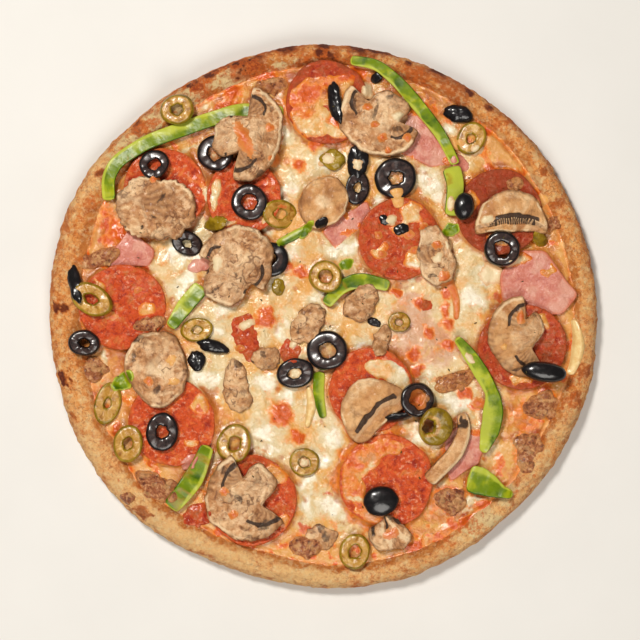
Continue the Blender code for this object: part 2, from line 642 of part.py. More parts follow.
def make_mushrooms_and_olives(ground):
    """The second layer, from the lowest piece to the highest."""
    put_olive("black_olive_01", olive_ring((-57, 86), 18, 18, 7), ground, BLACK_OLIVE)
    put_olive("black_olive_02", olive_ring((-28, 30), 18, 17, 8), ground, BLACK_OLIVE)
    put_olive("green_olive_01", olive_ring((-77, 109), 17, 15, 6, 20), ground, GREEN_OLIVE)
    put_olive("green_olive_02", olive_ring((-122, 9), 22, 15, 7, 150), ground, GREEN_OLIVE)
    put_olive("green_olive_03", olive_ring((-47, -67), 19, 17, 7, 70), ground, GREEN_OLIVE)
    put_mushroom(1, mushroom_outline((-39, 96), 50, 36, -12, 20, 17, 0.25, 1), ground)
    put_mushroom(2, mushroom_outline((28, 103), 45, 35, 236, 19, 13, -0.2, 2), ground)
    put_mushroom(3, round_outline((-88, 57), 42, 31, 0, 16, 0.05, 3, 0.12), ground)
    put_mushroom(4, mushroom_outline((-46, 27), 40, 44, 62, 22, 21, 0.0, 4), ground)
    put_mushroom(5, mushroom_outline((99, 57), 38, 20, 90, 0, 0, 0.0, 5), ground)
    put_mushroom(6, round_outline((0, 60), 29, 25, 60, 13, 0.05, 6), ground)
    put_mushroom(7, round_outline((59, 32), 31, 20, 105, 14, 0.10, 7), ground)
    put_mushroom(8, mushroom_outline((102, -12), 43, 31, 195, 13, 10, 0.5, 8), ground)
    put_mushroom(9, mushroom_outline((22.5, -45.5), 38, 24, 133, 0, 0, 0.0, 9), ground)
    put_mushroom(10, mushroom_outline((-42, -97), 48, 41, 218, 17, 15, 0.2, 10), ground)
    put_mushroom(11, round_outline((-88, -27), 41, 33, 100, 16, 0.06, 11), ground)
    sliver = [(73, -51), (75, -60), (70, -72), (55, -87)]
    put_mushroom(12, strip_outline(sliver, (6, 9, 8), 7.0), ground, SLIVER_THICK)
    fan = [(34, -104), (24, -113), (29, -123), (42, -123), (48, -116)]
    put_mushroom(13, sheet_outline(fan, seed=13), ground)
    put_olive("black_olive_03", olive_ring((-89, 80), 15, 14, 6, 30), ground, BLACK_OLIVE)
    put_olive("black_olive_04", olive_ring((-39, 60), 18, 18, 8), ground, BLACK_OLIVE)
    put_olive("black_olive_05", olive_ring((38, 73), 21, 20, 7), ground, BLACK_OLIVE)
    put_olive("black_olive_06", olive_ring((94, 35.5), 18, 17.5, 8), ground, BLACK_OLIVE)
    put_olive("black_olive_07", olive_ring((2, -18), 20.5, 20, 8), ground, BLACK_OLIVE)
    put_olive("black_olive_08", olive_ring((-15, -30), 19, 15, 7, 10), ground, BLACK_OLIVE)
    put_olive("black_olive_09", olive_ring((-85, -61), 19, 16, 7, 80), ground, BLACK_OLIVE)
    put_olive("black_olive_10", olive_ring((49.5, -44), 17, 17, 10), ground, BLACK_OLIVE)
    put_olive("black_olive_11", olive_end((30, -97), 19, 16, 5, 6.0), ground, BLACK_OLIVE)
    put_olive("black_olive_12", olive_end((116, -29), 24, 11, -8, 6.0), ground, BLACK_OLIVE)
    put_olive("black_olive_13", olive_end((74, 58), 15, 11, 80, 5.5), ground, BLACK_OLIVE)
    put_olive("black_olive_14", olive_ring((-126, -14), 16, 13, 5, 170), ground, BLACK_OLIVE)
    put_olive("green_olive_04", olive_ring((1, 21), 16.5, 16, 7), ground, GREEN_OLIVE)
    put_olive("green_olive_05", olive_ring((59, -58), 19.5, 17, 7, 70, 6.0), ground, GREEN_OLIVE)
    put_olive("green_olive_06", olive_ring((16.5, -124), 18, 15, 7, 80), ground, GREEN_OLIVE)
    put_olive("green_olive_07", olive_ring((-103, -67), 19, 15, 6, 80), ground, GREEN_OLIVE)


def main():
    crust, centre = make_crust()
    cheese = make_cheese(centre)
    dough = HeightMap()
    dough.add(in_millimetres(crust))
    ground = HeightMap()
    for solid in (crust, cheese):
        ground.add(in_millimetres(solid))
    join_to_cheese(cheese, dough, ground)
    ground.add(in_millimetres(cheese))
    make_first_layer(ground)
    make_peppers(ground)
    make_mushrooms_and_olives(ground)


main()
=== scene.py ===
# %% [markdown]
# A baked pizza, seen from straight above.
# The frame holds the plain solids: a crust, a sheet of cheese and every large topping, each in its place.
# This lesson dresses them. Sizes are in millimetres, and MM turns them into Blender's metres.
# Every new surface is a grid of points worked out with numpy, which is quick and can follow any formula.

# %% The frame
import math

import bpy
import numpy as np
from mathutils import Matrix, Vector
from mathutils.bvhtree import BVHTree


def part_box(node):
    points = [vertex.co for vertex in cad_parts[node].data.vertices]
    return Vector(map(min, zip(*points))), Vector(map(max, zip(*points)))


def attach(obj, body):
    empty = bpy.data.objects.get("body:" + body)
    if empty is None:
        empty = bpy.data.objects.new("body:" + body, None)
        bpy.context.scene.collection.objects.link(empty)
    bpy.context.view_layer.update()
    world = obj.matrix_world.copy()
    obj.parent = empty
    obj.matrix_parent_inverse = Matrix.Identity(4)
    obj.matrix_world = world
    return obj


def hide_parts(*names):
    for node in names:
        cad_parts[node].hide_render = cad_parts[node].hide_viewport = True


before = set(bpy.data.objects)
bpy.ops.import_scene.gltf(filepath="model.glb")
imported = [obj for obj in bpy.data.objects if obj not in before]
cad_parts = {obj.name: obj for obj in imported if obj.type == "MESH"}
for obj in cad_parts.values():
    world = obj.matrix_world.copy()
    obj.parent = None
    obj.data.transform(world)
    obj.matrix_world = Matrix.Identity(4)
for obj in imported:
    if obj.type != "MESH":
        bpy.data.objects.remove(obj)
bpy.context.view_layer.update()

MM = 0.001
print("solids in the frame:", len(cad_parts))

# %% [markdown]
# Light and camera.
# The picture was taken from straight above, so the camera looks down the Z axis from over a metre away.
# A large soft lamp near the camera's side and a wide dim one fill the shadows, as in a kitchen studio.

# %% Camera and lights
PICTURE_WIDTH_MM = 640 * 0.528
CAMERA_HEIGHT = 1.30
CAMERA_SIDE = (-1.85, -1.85)
LENS = 36.0 * (CAMERA_HEIGHT - 0.014) / (PICTURE_WIDTH_MM * MM)


def make_camera():
    data = bpy.data.cameras.new("camera")
    data.lens = LENS
    data.sensor_width = 36.0
    camera = bpy.data.objects.new("camera", data)
    camera.location = (CAMERA_SIDE[0] * MM, CAMERA_SIDE[1] * MM, CAMERA_HEIGHT)
    bpy.context.scene.collection.objects.link(camera)
    bpy.context.scene.camera = camera


def make_lamp(name, place, size, power, colour=(1.0, 1.0, 1.0)):
    data = bpy.data.lights.new(name, "AREA")
    data.shape = "DISK"
    data.size = size
    data.energy = power
    data.color = colour
    lamp = bpy.data.objects.new(name, data)
    lamp.location = place
    lamp.rotation_euler = (-Vector(place)).to_track_quat("-Z", "Y").to_euler()
    bpy.context.scene.collection.objects.link(lamp)


make_camera()
make_lamp("key_lamp", (-0.36, 0.46, 1.15), 0.26, 13.2, (1.0, 0.96, 0.90))
make_lamp("fill_lamp", (0.15, -0.75, 1.10), 0.8, 8.6, (1.0, 0.96, 0.90))
world = bpy.data.worlds.new("studio")
world.use_nodes = True
world.node_tree.nodes["Background"].inputs["Color"].default_value = (1.0, 0.95, 0.88, 1.0)
world.node_tree.nodes["Background"].inputs["Strength"].default_value = 0.13
bpy.context.scene.world = world
bpy.context.scene.view_settings.view_transform = "Standard"
bpy.context.scene.view_settings.look = "None"
print("camera lens", round(LENS, 1))

# %% [markdown]
# Unevenness.
# Nothing on food is smooth or even, so almost every formula below adds some noise.
# This noise puts random numbers on a square lattice and blends between them. rough adds finer layers.

# %% Noise


def noise(x, y, size, seed):
    """Smooth random values from -1 to 1: numbers on a lattice of that size, blended by 3t^2 - 2t^3."""
    table = np.random.default_rng(seed).uniform(-1.0, 1.0, (128, 128))
    along_x = np.asarray(x) / size + 640.0
    along_y = np.asarray(y) / size + 640.0
    column, row = np.floor(along_x).astype(int), np.floor(along_y).astype(int)
    fx, fy = along_x - column, along_y - row
    fx, fy = fx * fx * (3.0 - 2.0 * fx), fy * fy * (3.0 - 2.0 * fy)
    near, far = column % 128, (column + 1) % 128
    low, high = row % 128, (row + 1) % 128
    below = table[near, low] * (1.0 - fx) + table[far, low] * fx
    above = table[near, high] * (1.0 - fx) + table[far, high] * fx
    return below * (1.0 - fy) + above * fy


def rough(x, y, size, seed, layers=4, fade=0.55):
    """Layers of noise, each half the size of the last and weaker by fade, scaled to about -1 to 1."""
    total, strength, weight = 0.0, 1.0, 0.0
    for layer in range(layers):
        turn = 0.6 * layer
        turned_x = np.asarray(x) * math.cos(turn) + np.asarray(y) * math.sin(turn)
        turned_y = np.asarray(y) * math.cos(turn) - np.asarray(x) * math.sin(turn)
        total = total + strength * noise(turned_x, turned_y, size / 2 ** layer, seed + layer)
        weight += strength
        strength *= fade
    return 1.6 * total / weight


def step(value, low, high):
    """0 below low, 1 above high, and a smooth rise between."""
    share = np.clip((value - low) / (high - low), 0.0, 1.0)
    return share * share * (3.0 - 2.0 * share)


def circle(count):
    """Even angles all the way round, from 0."""
    return np.linspace(0.0, 2.0 * math.pi, count, endpoint=False)


def turned(middle, x, y, degrees):
    """Turn points about the origin, then move them so that the origin comes to a middle."""
    cosine, sine = math.cos(math.radians(degrees)), math.sin(math.radians(degrees))
    return middle[0] + x * cosine - y * sine, middle[1] + x * sine + y * cosine


def plane_through(x, y, z):
    """The plane that fits these points best, by least squares, as a function of x and y."""
    fit = np.linalg.lstsq(np.column_stack([np.ones(len(x)), x, y]), z, rcond=None)[0]
    return lambda px, py: fit[0] + fit[1] * px + fit[2] * py


# %% [markdown]
# Fields.
# A field holds one height for every point of a fine square grid over the pizza.
# It answers how high the pizza is at any place, so that each new piece can be laid on what is already there.

# %% Fields
FIELD_REACH = 156.0
FIELD_STEP = 0.75
FIELD_COUNT = int(2 * FIELD_REACH / FIELD_STEP) + 1
field_line = (np.arange(FIELD_COUNT) - (FIELD_COUNT - 1) / 2) * FIELD_STEP
FIELD_X, FIELD_Y = np.meshgrid(field_line, field_line, indexing="ij")


def read_field(field, x, y):
    """The value between the four nearest grid points, in proportion to how near they are."""
    column = np.clip((np.asarray(x) - field_line[0]) / FIELD_STEP, 0.0, FIELD_COUNT - 1.001)
    row = np.clip((np.asarray(y) - field_line[0]) / FIELD_STEP, 0.0, FIELD_COUNT - 1.001)
    i, j = column.astype(int), row.astype(int)
    fx, fy = column - i, row - j
    near = field[i, j] * (1.0 - fy) + field[i, j + 1] * fy
    far = field[i + 1, j] * (1.0 - fy) + field[i + 1, j + 1] * fy
    return near * (1.0 - fx) + far * fx


def blur(field, size):
    """Soften a field by a bell curve of that width in millimetres, through its Fourier transform."""
    padded = np.pad(field, 16, mode="edge")
    waves_x = np.fft.fftfreq(padded.shape[0], FIELD_STEP)[:, None]
    waves_y = np.fft.rfftfreq(padded.shape[1], FIELD_STEP)[None, :]
    bell = np.exp(-2.0 * (math.pi * size) ** 2 * (waves_x ** 2 + waves_y ** 2))
    soft = np.fft.irfft2(np.fft.rfft2(padded) * bell, s=padded.shape)
    return soft[16:-16, 16:-16]


def window_of(low, high, margin=3.0):
    """The part of the grid round a box, as two slices."""
    first = ((np.asarray(low)[:2] - margin - field_line[0]) / FIELD_STEP).astype(int)
    last = ((np.asarray(high)[:2] + margin - field_line[0]) / FIELD_STEP).astype(int) + 2
    first, last = np.clip(first, 0, FIELD_COUNT - 1), np.clip(last, 1, FIELD_COUNT)
    return slice(first[0], last[0]), slice(first[1], last[1])


def surface_of(mesh):
    """A mesh's points in millimetres, and its triangles in a tree that rays can search."""
    points = np.empty(len(mesh.vertices) * 3)
    mesh.vertices.foreach_get("co", points)
    points = points.reshape(-1, 3) / MM
    mesh.calc_loop_triangles()
    corners = np.empty(len(mesh.loop_triangles) * 3, dtype=int)
    mesh.loop_triangles.foreach_get("vertices", corners)
    return points, BVHTree.FromPolygons(points.tolist(), corners.reshape(-1, 3).tolist())


def rays(tree, window, upward):
    """Heights where vertical rays meet a surface, and NaN where they miss it."""
    x, y = FIELD_X[window], FIELD_Y[window]
    start, heading = (-50.0, Vector((0, 0, 1))) if upward else (90.0, Vector((0, 0, -1)))
    heights = np.full(x.shape, np.nan)
    for index in np.ndindex(x.shape):
        place = tree.ray_cast(Vector((x[index], y[index], start)), heading)[0]
        if place is not None:
            heights[index] = place.z
    return heights


class Solid:
    """What the dressing needs to know of one solid of the frame: where its underside and its top are."""

    def __init__(self, name):
        points, tree = surface_of(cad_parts[name].data)
        self.window = window_of(points.min(axis=0), points.max(axis=0))
        self.under = rays(tree, self.window, True)
        self.top = rays(tree, self.window, False)
        self.covers = ~np.isnan(self.under)


def patch_reader(window, values):
    """A function of x and y that reads a small window of heights."""
    whole = np.full(FIELD_X.shape, float(np.mean(values)))
    whole[window] = values
    return lambda x, y: read_field(whole, x, y)


def spread_patch(values, size):
    """Fill and soften a small window of heights."""
    known = ~np.isnan(values)
    middle = float(np.nanmean(values))
    weight = blur(known.astype(float), size) + 1e-4
    return blur(np.where(known, values - middle, 0.0), size) / weight + middle


solids = {name: Solid(name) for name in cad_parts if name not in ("crust", "cheese")}
print("toppings measured:", len(solids))

# %% [markdown]
# From points to a mesh.
# Every piece here is a closed skin: rows of points round it, which end in two poles or meet in a ring.
# The mesh is filled from whole arrays, and turned right side out if its volume comes out negative.

# %% Closed skins


def outward(points, corners, sizes):
    """Turn every face round if the skin's volume, the sum of tetrahedra from its middle, is negative."""
    starts = np.concatenate([[0], np.cumsum(sizes)[:-1]])
    middle = points.mean(axis=0)
    first, second, third = (points[corners[starts + k]] - middle for k in range(3))
    if np.einsum("ij,ij->i", first, np.cross(second, third)).sum() >= 0.0:
        return corners
    face = np.repeat(np.arange(len(sizes)), sizes)
    place = np.arange(len(corners)) - starts[face]
    return corners[starts[face] + (sizes[face] - 1 - place)]


def mesh_piece(name, points, corners, sizes, paint, material):
    """Fill a mesh from corner numbers and face sizes, and add one number per vertex for each paint."""
    mesh = bpy.data.meshes.new(name)
    mesh.vertices.add(len(points))
    mesh.vertices.foreach_set("co", (points * MM).astype(np.float32).ravel())
    mesh.loops.add(len(corners))
    mesh.loops.foreach_set("vertex_index", corners.astype(np.int32))
    mesh.polygons.add(len(sizes))
    mesh.polygons.foreach_set("loop_start", np.concatenate([[0], np.cumsum(sizes)[:-1]]).astype(np.int32))
    mesh.polygons.foreach_set("loop_total", np.asarray(sizes).astype(np.int32))
    mesh.update(calc_edges=True)
    mesh.polygons.foreach_set("use_smooth", np.ones(len(sizes), dtype=bool))
    for label, values in paint.items():
        layer = mesh.attributes.new(label, "FLOAT", "POINT")
        layer.data.foreach_set("value", np.asarray(values, dtype=np.float32).ravel())
    mesh.materials.append(material)
    piece = bpy.data.objects.new(name, mesh)
    bpy.context.scene.collection.objects.link(piece)
    return piece


def skin_arrays(points, ring=False):
    """Vertices, face corners and face sizes of a grid of rows x columns x 3 whose columns close round.

    Unless the rows close into a ring, the first and the last row shrink to one point each.
    """
    rows, columns = points.shape[:2]
    here = np.arange(columns)
    beside = (here + 1) % columns
    if ring:
        row = np.arange(rows)[:, None] * columns
        next_row = ((np.arange(rows) + 1) % rows)[:, None] * columns
        quads = np.stack([row + here, row + beside, next_row + beside, next_row + here], axis=-1)
        quads = quads.reshape(-1, 4)
        return points.reshape(-1, 3), quads.ravel(), np.full(len(quads), 4)
    body = points[1:-1].reshape(-1, 3)
    vertices = np.vstack([points[0].mean(axis=0), body, points[-1].mean(axis=0)])
    row = 1 + np.arange(rows - 3)[:, None] * columns
    next_row = row + columns
    quads = np.stack([row + here, row + beside, next_row + beside, next_row + here], axis=-1).reshape(-1, 4)
    last = 1 + (rows - 3) * columns
    end = len(vertices) - 1
    start_fan = np.stack([np.zeros(columns, dtype=int), 1 + beside, 1 + here], axis=-1)
    end_fan = np.stack([np.full(columns, end), last + here, last + beside], axis=-1)
    corners = np.concatenate([quads.ravel(), start_fan.ravel(), end_fan.ravel()])
    sizes = np.concatenate([np.full(len(quads), 4), np.full(2 * columns, 3)])
    return vertices, corners, sizes


def skin_paint(values, ring=False):
    """The numbers of a grid, in the order of its vertices."""
    values = np.asarray(values, dtype=float)
    if ring:
        return values.reshape(-1)
    return np.concatenate([[values[0].mean()], values[1:-1].reshape(-1), [values[-1].mean()]])


class Heap:
    """Several skins that become one piece."""

    def __init__(self):
        self.points, self.corners, self.sizes, self.paint, self.count = [], [], [], {}, 0

    def add(self, points, ring=False, **paint):
        vertices, corners, sizes = skin_arrays(points, ring)
        self.points.append(vertices)
        self.corners.append(outward(vertices, corners, sizes) + self.count)
        self.sizes.append(sizes)
        self.count += len(vertices)
        for label, values in paint.items():
            grid = np.broadcast_to(values, points.shape[:2])
            self.paint.setdefault(label, []).append(skin_paint(grid, ring))

    def piece(self, name, material):
        paint = {label: np.concatenate(values) for label, values in self.paint.items()}
        points, corners, sizes = (np.concatenate(part) for part in (self.points, self.corners, self.sizes))
        return mesh_piece(name, points, corners, sizes, paint, material)


def triangles(piece):
    return sum(len(face.vertices) - 2 for face in piece.data.polygons)


def dress(piece, slot, *nodes):
    """Let a piece ride on the pizza and stand for its solids, which are hidden. The slot is not used."""
    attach(piece, "root")
    if nodes:
        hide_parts(*nodes)
    return piece


# %% [markdown]
# Finishes.
# A finish is a small tree of nodes ending in one shader. Each helper below adds a node and gives its output.
# Patterns read Object coordinates, so they stay with the pizza. Painted numbers on the vertices steer them.

# %% Finish helpers


def rgb(red, green, blue):
    """A colour as the eye reads it, from 0 to 255, turned into the linear light that shaders use."""
    share = np.array([red, green, blue]) / 255.0
    linear = np.where(share <= 0.04045, share / 12.92, ((share + 0.055) / 1.055) ** 2.4)
    return (*linear.tolist(), 1.0)


COAT_ROUGHNESS = 0.12


class Finish:
    """A material under construction."""

    def __init__(self, name, roughness=0.5, coat=0.0, specular=0.5):
        self.material = bpy.data.materials.new(name)
        self.material.use_nodes = True
        self.tree = self.material.node_tree
        self.shader = self.tree.nodes["Principled BSDF"]
        self.shader.inputs["Roughness"].default_value = roughness
        self.shader.inputs["Specular IOR Level"].default_value = specular
        self.shader.inputs["Coat Weight"].default_value = coat
        self.shader.inputs["Coat Roughness"].default_value = COAT_ROUGHNESS
        self.place = self.tree.nodes.new("ShaderNodeTexCoord").outputs["Object"]

    def _set(self, socket, value):
        if isinstance(value, bpy.types.NodeSocket):
            self.tree.links.new(value, socket)
        else:
            socket.default_value = value

    def _node(self, kind, inputs, output, **settings):
        """Add a node with these settings, fill its inputs and give back one of its outputs."""
        node = self.tree.nodes.new("ShaderNode" + kind)
        for label, value in settings.items():
            setattr(node, label, value)
        for label, value in inputs.items():
            self._set(node.inputs[label], value)
        return node.outputs[output]

    def painted(self, label):
        return self._node("Attribute", {}, "Fac", attribute_name=label)

    def noise(self, size, detail=4.0, roughness=0.55, bend=0.0):
        """Noise whose lumps are about size millimetres."""
        return self._node("TexNoise", {"Vector": self.place, "Scale": 1.0 / (size * MM), "Detail": detail,
                                       "Roughness": roughness, "Distortion": bend}, "Fac")

    def maths(self, kind, first, second=0.0):
        return self._node("Math", {0: first, 1: second}, 0, operation=kind)

    def product(self, first, second):
        return self.maths("MULTIPLY", first, second)

    def band(self, value, low, high):
        """0 below low and 1 above high, smoothly."""
        return self._node("MapRange", {"Value": value, "From Min": low, "From Max": high}, "Result",
                          interpolation_type="SMOOTHSTEP")

    def mix(self, share, first, second):
        return self._node("Mix", {0: share, 6: first, 7: second}, 2, data_type="RGBA")

    def mottle(self, size, colours, low=0.30, high=0.70, detail=7.0, roughness=0.62, bend=0.5):
        """Blend even steps through a row of colours as one rough noise goes from low to high."""
        value = self.noise(size, detail, roughness, bend)
        base, span = rgb(*colours[0]), (high - low) / (len(colours) - 1)
        for index, colour in enumerate(colours[1:]):
            share = self.band(value, low + index * span, low + (index + 1) * span)
            base = self.mix(share, base, rgb(*colour))
        return base

    def lines(self, size, width, detail=3.0, bend=0.6):
        """1 along the thin winding lines where a noise crosses its middle, and 0 away from them."""
        value = self.noise(size, detail, 0.55, bend)
        return self.band(self.maths("ABSOLUTE", self.maths("SUBTRACT", value, 0.5)), width, 0.0)

    def shaken(self, value, size, amount, detail=5.0):
        """A painted number made ragged: a centred noise of that size is added to it."""
        centred = self.maths("SUBTRACT", self.noise(size, detail, 0.62, 0.4), 0.5)
        return self.maths("ADD", value, self.product(centred, amount))

    def cover(self, base, share, strength, colour):
        """Lay a colour over a base by a share from 0 to 1, at that strength at most."""
        return self.mix(self.product(share, strength), base, colour)

    def stain(self, base, value, low, high, strength, colour):
        """Lay a colour over a base where a value rises from low to high."""
        return self.cover(base, self.band(value, low, high), strength, rgb(*colour))

    def roughness(self, value):
        self._set(self.shader.inputs["Roughness"], value)

    def bump(self, height, depth, after=None):
        """Depth is the real height of the bumps in millimetres."""
        inputs = {"Strength": 1.0, "Distance": depth * MM, "Height": height}
        if after is not None:
            inputs["Normal"] = after
        normal = self._node("Bump", inputs, "Normal")
        self._set(self.shader.inputs["Normal"], normal)
        return normal

    def done(self, base, *bumps):
        """Colour the shader, lay on the bumps, each a noise's settings and a depth, and give the material."""
        self._set(self.shader.inputs["Base Color"], base)
        normal = None
        for settings, depth in bumps:
            normal = self.bump(self.noise(*settings), depth, normal)
        return self.material


print("finish helpers ready")

# %% [markdown]
# The floor.
# The pizza rests on a plain pale floor, which isn't part of it.

# %% Floor
FLOOR_REACH = 4.0


def make_floor():
    finish = Finish("floor", roughness=0.8)
    cloudy = finish.noise(60.0, 3.0)
    mesh = bpy.data.meshes.new("floor")
    corners = [(FLOOR_REACH * x, FLOOR_REACH * y, 0.0) for x, y in ((-1, -1), (1, -1), (1, 1), (-1, 1))]
    mesh.from_pydata(corners, [], [(0, 1, 2, 3)])
    mesh.materials.append(finish.done(finish.mix(cloudy, rgb(222, 220, 216), rgb(230, 228, 224))))
    floor = bpy.data.objects.new("floor", mesh)
    bpy.context.scene.collection.objects.link(floor)


make_floor()

# %% [markdown]
# The shape of the dough.
# A pressed round of dough isn't a true circle, and its rim is wider in places. Both are waves round the edge.
# The same waves shape the edge of the cheese, so that the two always fit.

# %% Outline of the dough
PIZZA_RADIUS = 145.0
BED_TOP = 7.5
RIM_WIDTH = 13.0
OUTLINE_WAVES = ((2, 1.0, -9.0), (3, 0.35, -55.0), (5, 0.65, 4.0), (6, 0.65, -20.0))
RIM_WIDTH_WAVES = ((1, 2.2, 200.0), (2, 1.5, 0.0))
RIM_FOOT = 122.0


def waves(angle, terms):
    """Sum of cosines: each term is an order, an amount and the angle of its crest in degrees."""
    return sum(amount * np.cos(order * (angle - math.radians(crest))) for order, amount, crest in terms)


def waves_8(x, y, size, seed):
    """Eight sine waves of about one length that cross at random: the slow swell of dough and cheese."""
    random = np.random.default_rng(seed)
    total = 0.0
    for _ in range(8):
        heading = random.uniform(0.0, 2.0 * math.pi)
        length = size * random.uniform(0.7, 1.4)
        phase = random.uniform(0.0, 2.0 * math.pi)
        total = total + np.sin(2.0 * math.pi * (x * math.cos(heading) + y * math.sin(heading)) / length
                               + phase)
    return total / 3.0


def outline_radius(angle):
    return PIZZA_RADIUS + waves(angle, OUTLINE_WAVES)


def to_outline(radius, angle):
    """Where a point at this radius on a true circle of dough really lies."""
    width = (RIM_WIDTH + waves(angle, RIM_WIDTH_WAVES)) / RIM_WIDTH
    shaped = outline_radius(angle) - (PIZZA_RADIUS - np.maximum(radius, RIM_FOOT)) * width
    return np.where(radius < RIM_FOOT, radius * shaped / RIM_FOOT, shaped)


crust_points = np.array([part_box("crust")[0][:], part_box("crust")[1][:]]) / MM
check_angles = np.linspace(0.0, 2.0 * math.pi, 721)
check_radii = outline_radius(check_angles)
check_points = check_radii * np.array([np.cos(check_angles), np.sin(check_angles)])
DOUGH_SHIFT = (check_points.max(axis=1) + check_points.min(axis=1)) / 2
print("crust box", crust_points.round(1).tolist(), "shift", DOUGH_SHIFT.round(2))

# %% [markdown]
# The crust.
# A baked rim is a rounded roll with bubbles, a dry crumbly skin and darker spots where it touched the heat.
# It could be sculpted, but a profile carried round the pizza and pushed about by noise gives the same.

# %% The crust
CRUST_PROFILE = [
    (0.0, 0.0), (60.0, 0.0), (110.0, 0.0), (132.0, 0.0), (139.5, 0.0), (142.3, 0.7), (144.0, 2.6),
    (144.9, 5.6), (144.8, 8.0), (144.0, 10.2), (142.6, 12.2), (140.6, 13.8), (138.2, 14.8), (135.8, 14.7),
    (133.4, 13.6), (131.0, 11.3), (128.6, 9.3), (126.0, 8.0), (122.0, 7.5), (100.0, 7.5), (50.0, 7.5),
    (0.0, 7.5),
]
CRUST_COLUMNS = 900
CRUST_ROWS = 84


def smooth_profile(knots, count, fine_from, fine_to):
    """Points along a smooth curve through the knots, most of them between two of its places."""
    knots = np.array(knots)
    along = np.concatenate([[0.0], np.cumsum(np.hypot(*np.diff(knots, axis=0).T))])
    coarse = np.concatenate([along[:fine_from], along[fine_to + 1:]])
    fine = np.linspace(along[fine_from], along[fine_to], count - len(coarse))
    at = np.sort(np.concatenate([coarse, fine]))
    radius = np.interp(at, along, knots[:, 0])
    height = np.interp(at, along, knots[:, 1])
    for _ in range(3):
        for value in (radius, height):
            before, here, after = (value[fine_from + k:k - 5] for k in range(3))
            value[fine_from + 1:-4] = (before + 2 * here + after) / 4
    return radius, height


def dough_relief(x, y, z):
    """How far the baked skin stands out: swells, bubbles, crumbs and pits, by how dry it is there."""
    swell = rough(x + 0.6 * z, y - 0.6 * z, 17.0, 31, 2)
    bubbles = np.maximum(rough(x, y, 8.0, 33, 2) - 0.25, 0.0)
    crumbs = rough(x + 1.3 * z, y + 1.1 * z, 2.6, 35, 3, 0.7)
    return 0.38 * swell + 0.6 * bubbles + 0.60 * crumbs


def make_crust_finish():
    finish = Finish("baked_crust", roughness=0.66, specular=0.3)
    labels = ("brown", "pale", "ringed", "blister", "cream")
    brown, pale, ringed, blister, cream = (finish.painted(label) for label in labels)
    base = finish.mottle(6.0, [(224, 124, 50), (246, 160, 80), (254, 190, 112)])
    base = finish.stain(base, finish.shaken(pale, 3.0, 1.6), 0.2, 1.1, 0.80, (255, 208, 142))
    base = finish.stain(base, finish.noise(1.3, 5.0, 0.7), 0.50, 0.62, 0.60, (255, 214, 146))
    smooth = finish.band(pale, 2.6, 0.2)
    specks = finish.product(finish.band(finish.noise(2.2, 6.0, 0.75, 1.0), 0.50, 0.62), smooth)
    base = finish.cover(base, specks, 0.70, rgb(206, 98, 32))
    ring = finish.mottle(5.0, [(180, 84, 28), (216, 132, 60), (242, 186, 116)])
    base = finish.mix(finish.band(finish.shaken(ringed, 2.4, 0.9), 0.25, 0.95), base, ring)
    base = finish.stain(base, finish.shaken(cream, 3.0, 1.0), 0.10, 0.80, 0.85, (244, 216, 158))
    scorch = finish.shaken(brown, 2.4, 1.0)
    base = finish.stain(base, scorch, 0.15, 0.75, 0.80, (196, 92, 28))
    base = finish.stain(base, scorch, 0.75, 1.60, 1.0, (104, 40, 14))
    lit = finish.product(finish.band(finish.noise(3.0, 4.0, 0.7), 0.50, 0.62),
                         finish.band(scorch, 1.3, 0.5))
    base = finish.cover(base, lit, 0.45, rgb(255, 222, 166))
    grain = finish.product(finish.band(finish.noise(2.6, 4.0, 0.7, 0.8), 0.53, 0.63), smooth)
    base = finish.cover(base, grain, 0.55, rgb(176, 78, 24))
    broken = finish.product(blister, finish.band(finish.noise(3.4, 6.0, 0.7), 0.36, 0.60))
    spot = finish.shaken(broken, 1.2, 0.6)
    base = finish.stain(base, spot, 0.20, 0.70, 0.75, (222, 110, 38))
    base = finish.stain(base, spot, 0.70, 1.20, 0.75, (150, 52, 18))
    return finish.done(base, ((1.6, 6.0, 0.7), 1.6), ((0.5, 4.0, 0.65), 0.6))


RIM_SPOTS = [
    (-142, 4, 2.4, 1.3), (-136, 5, 2.0, 1.1), (-139, -33, 3.4, 1.6), (88, 110, 2.6, 1.0),
    (-118, 76, 2.2, 1.2), (-98, 98, 3.0, 0.9), (-60, 129, 5.0, 1.2), (-45, 134, 4.0, 1.1),
    (124, 60, 2.5, 0.8), (116, 77, 1.8, 1.0), (139, -30, 4.0, 0.9), (-96, -103, 4.0, 1.0),
    (-70, 124, 3.0, 1.2), (2, 137, 6.0, 0.6), (133, -42, 4.0, 1.0), (-134, -52, 2.0, 0.8),
    (45, 134, 2.5, 1.2), (78, 119, 2.4, 1.1),
]


# How much browner and how much paler the rim is coloured in each direction, in degrees from +X
BROWNER = ([-180, -150, -90, -45, 0, 45, 78, 100, 116, 140, 180],
           [0.34, 0.0, 0.0, 0.06, 0.0, 0.14, 1.50, 1.30, 0.45, 0.15, 0.34])
PALER = ([-180, -140, -90, -50, 0, 60, 90, 115, 140, 180],
         [0.30, 1.2, 1.2, 0.7, 0.50, 0.3, 0.0, 0.0, 0.8, 0.30])

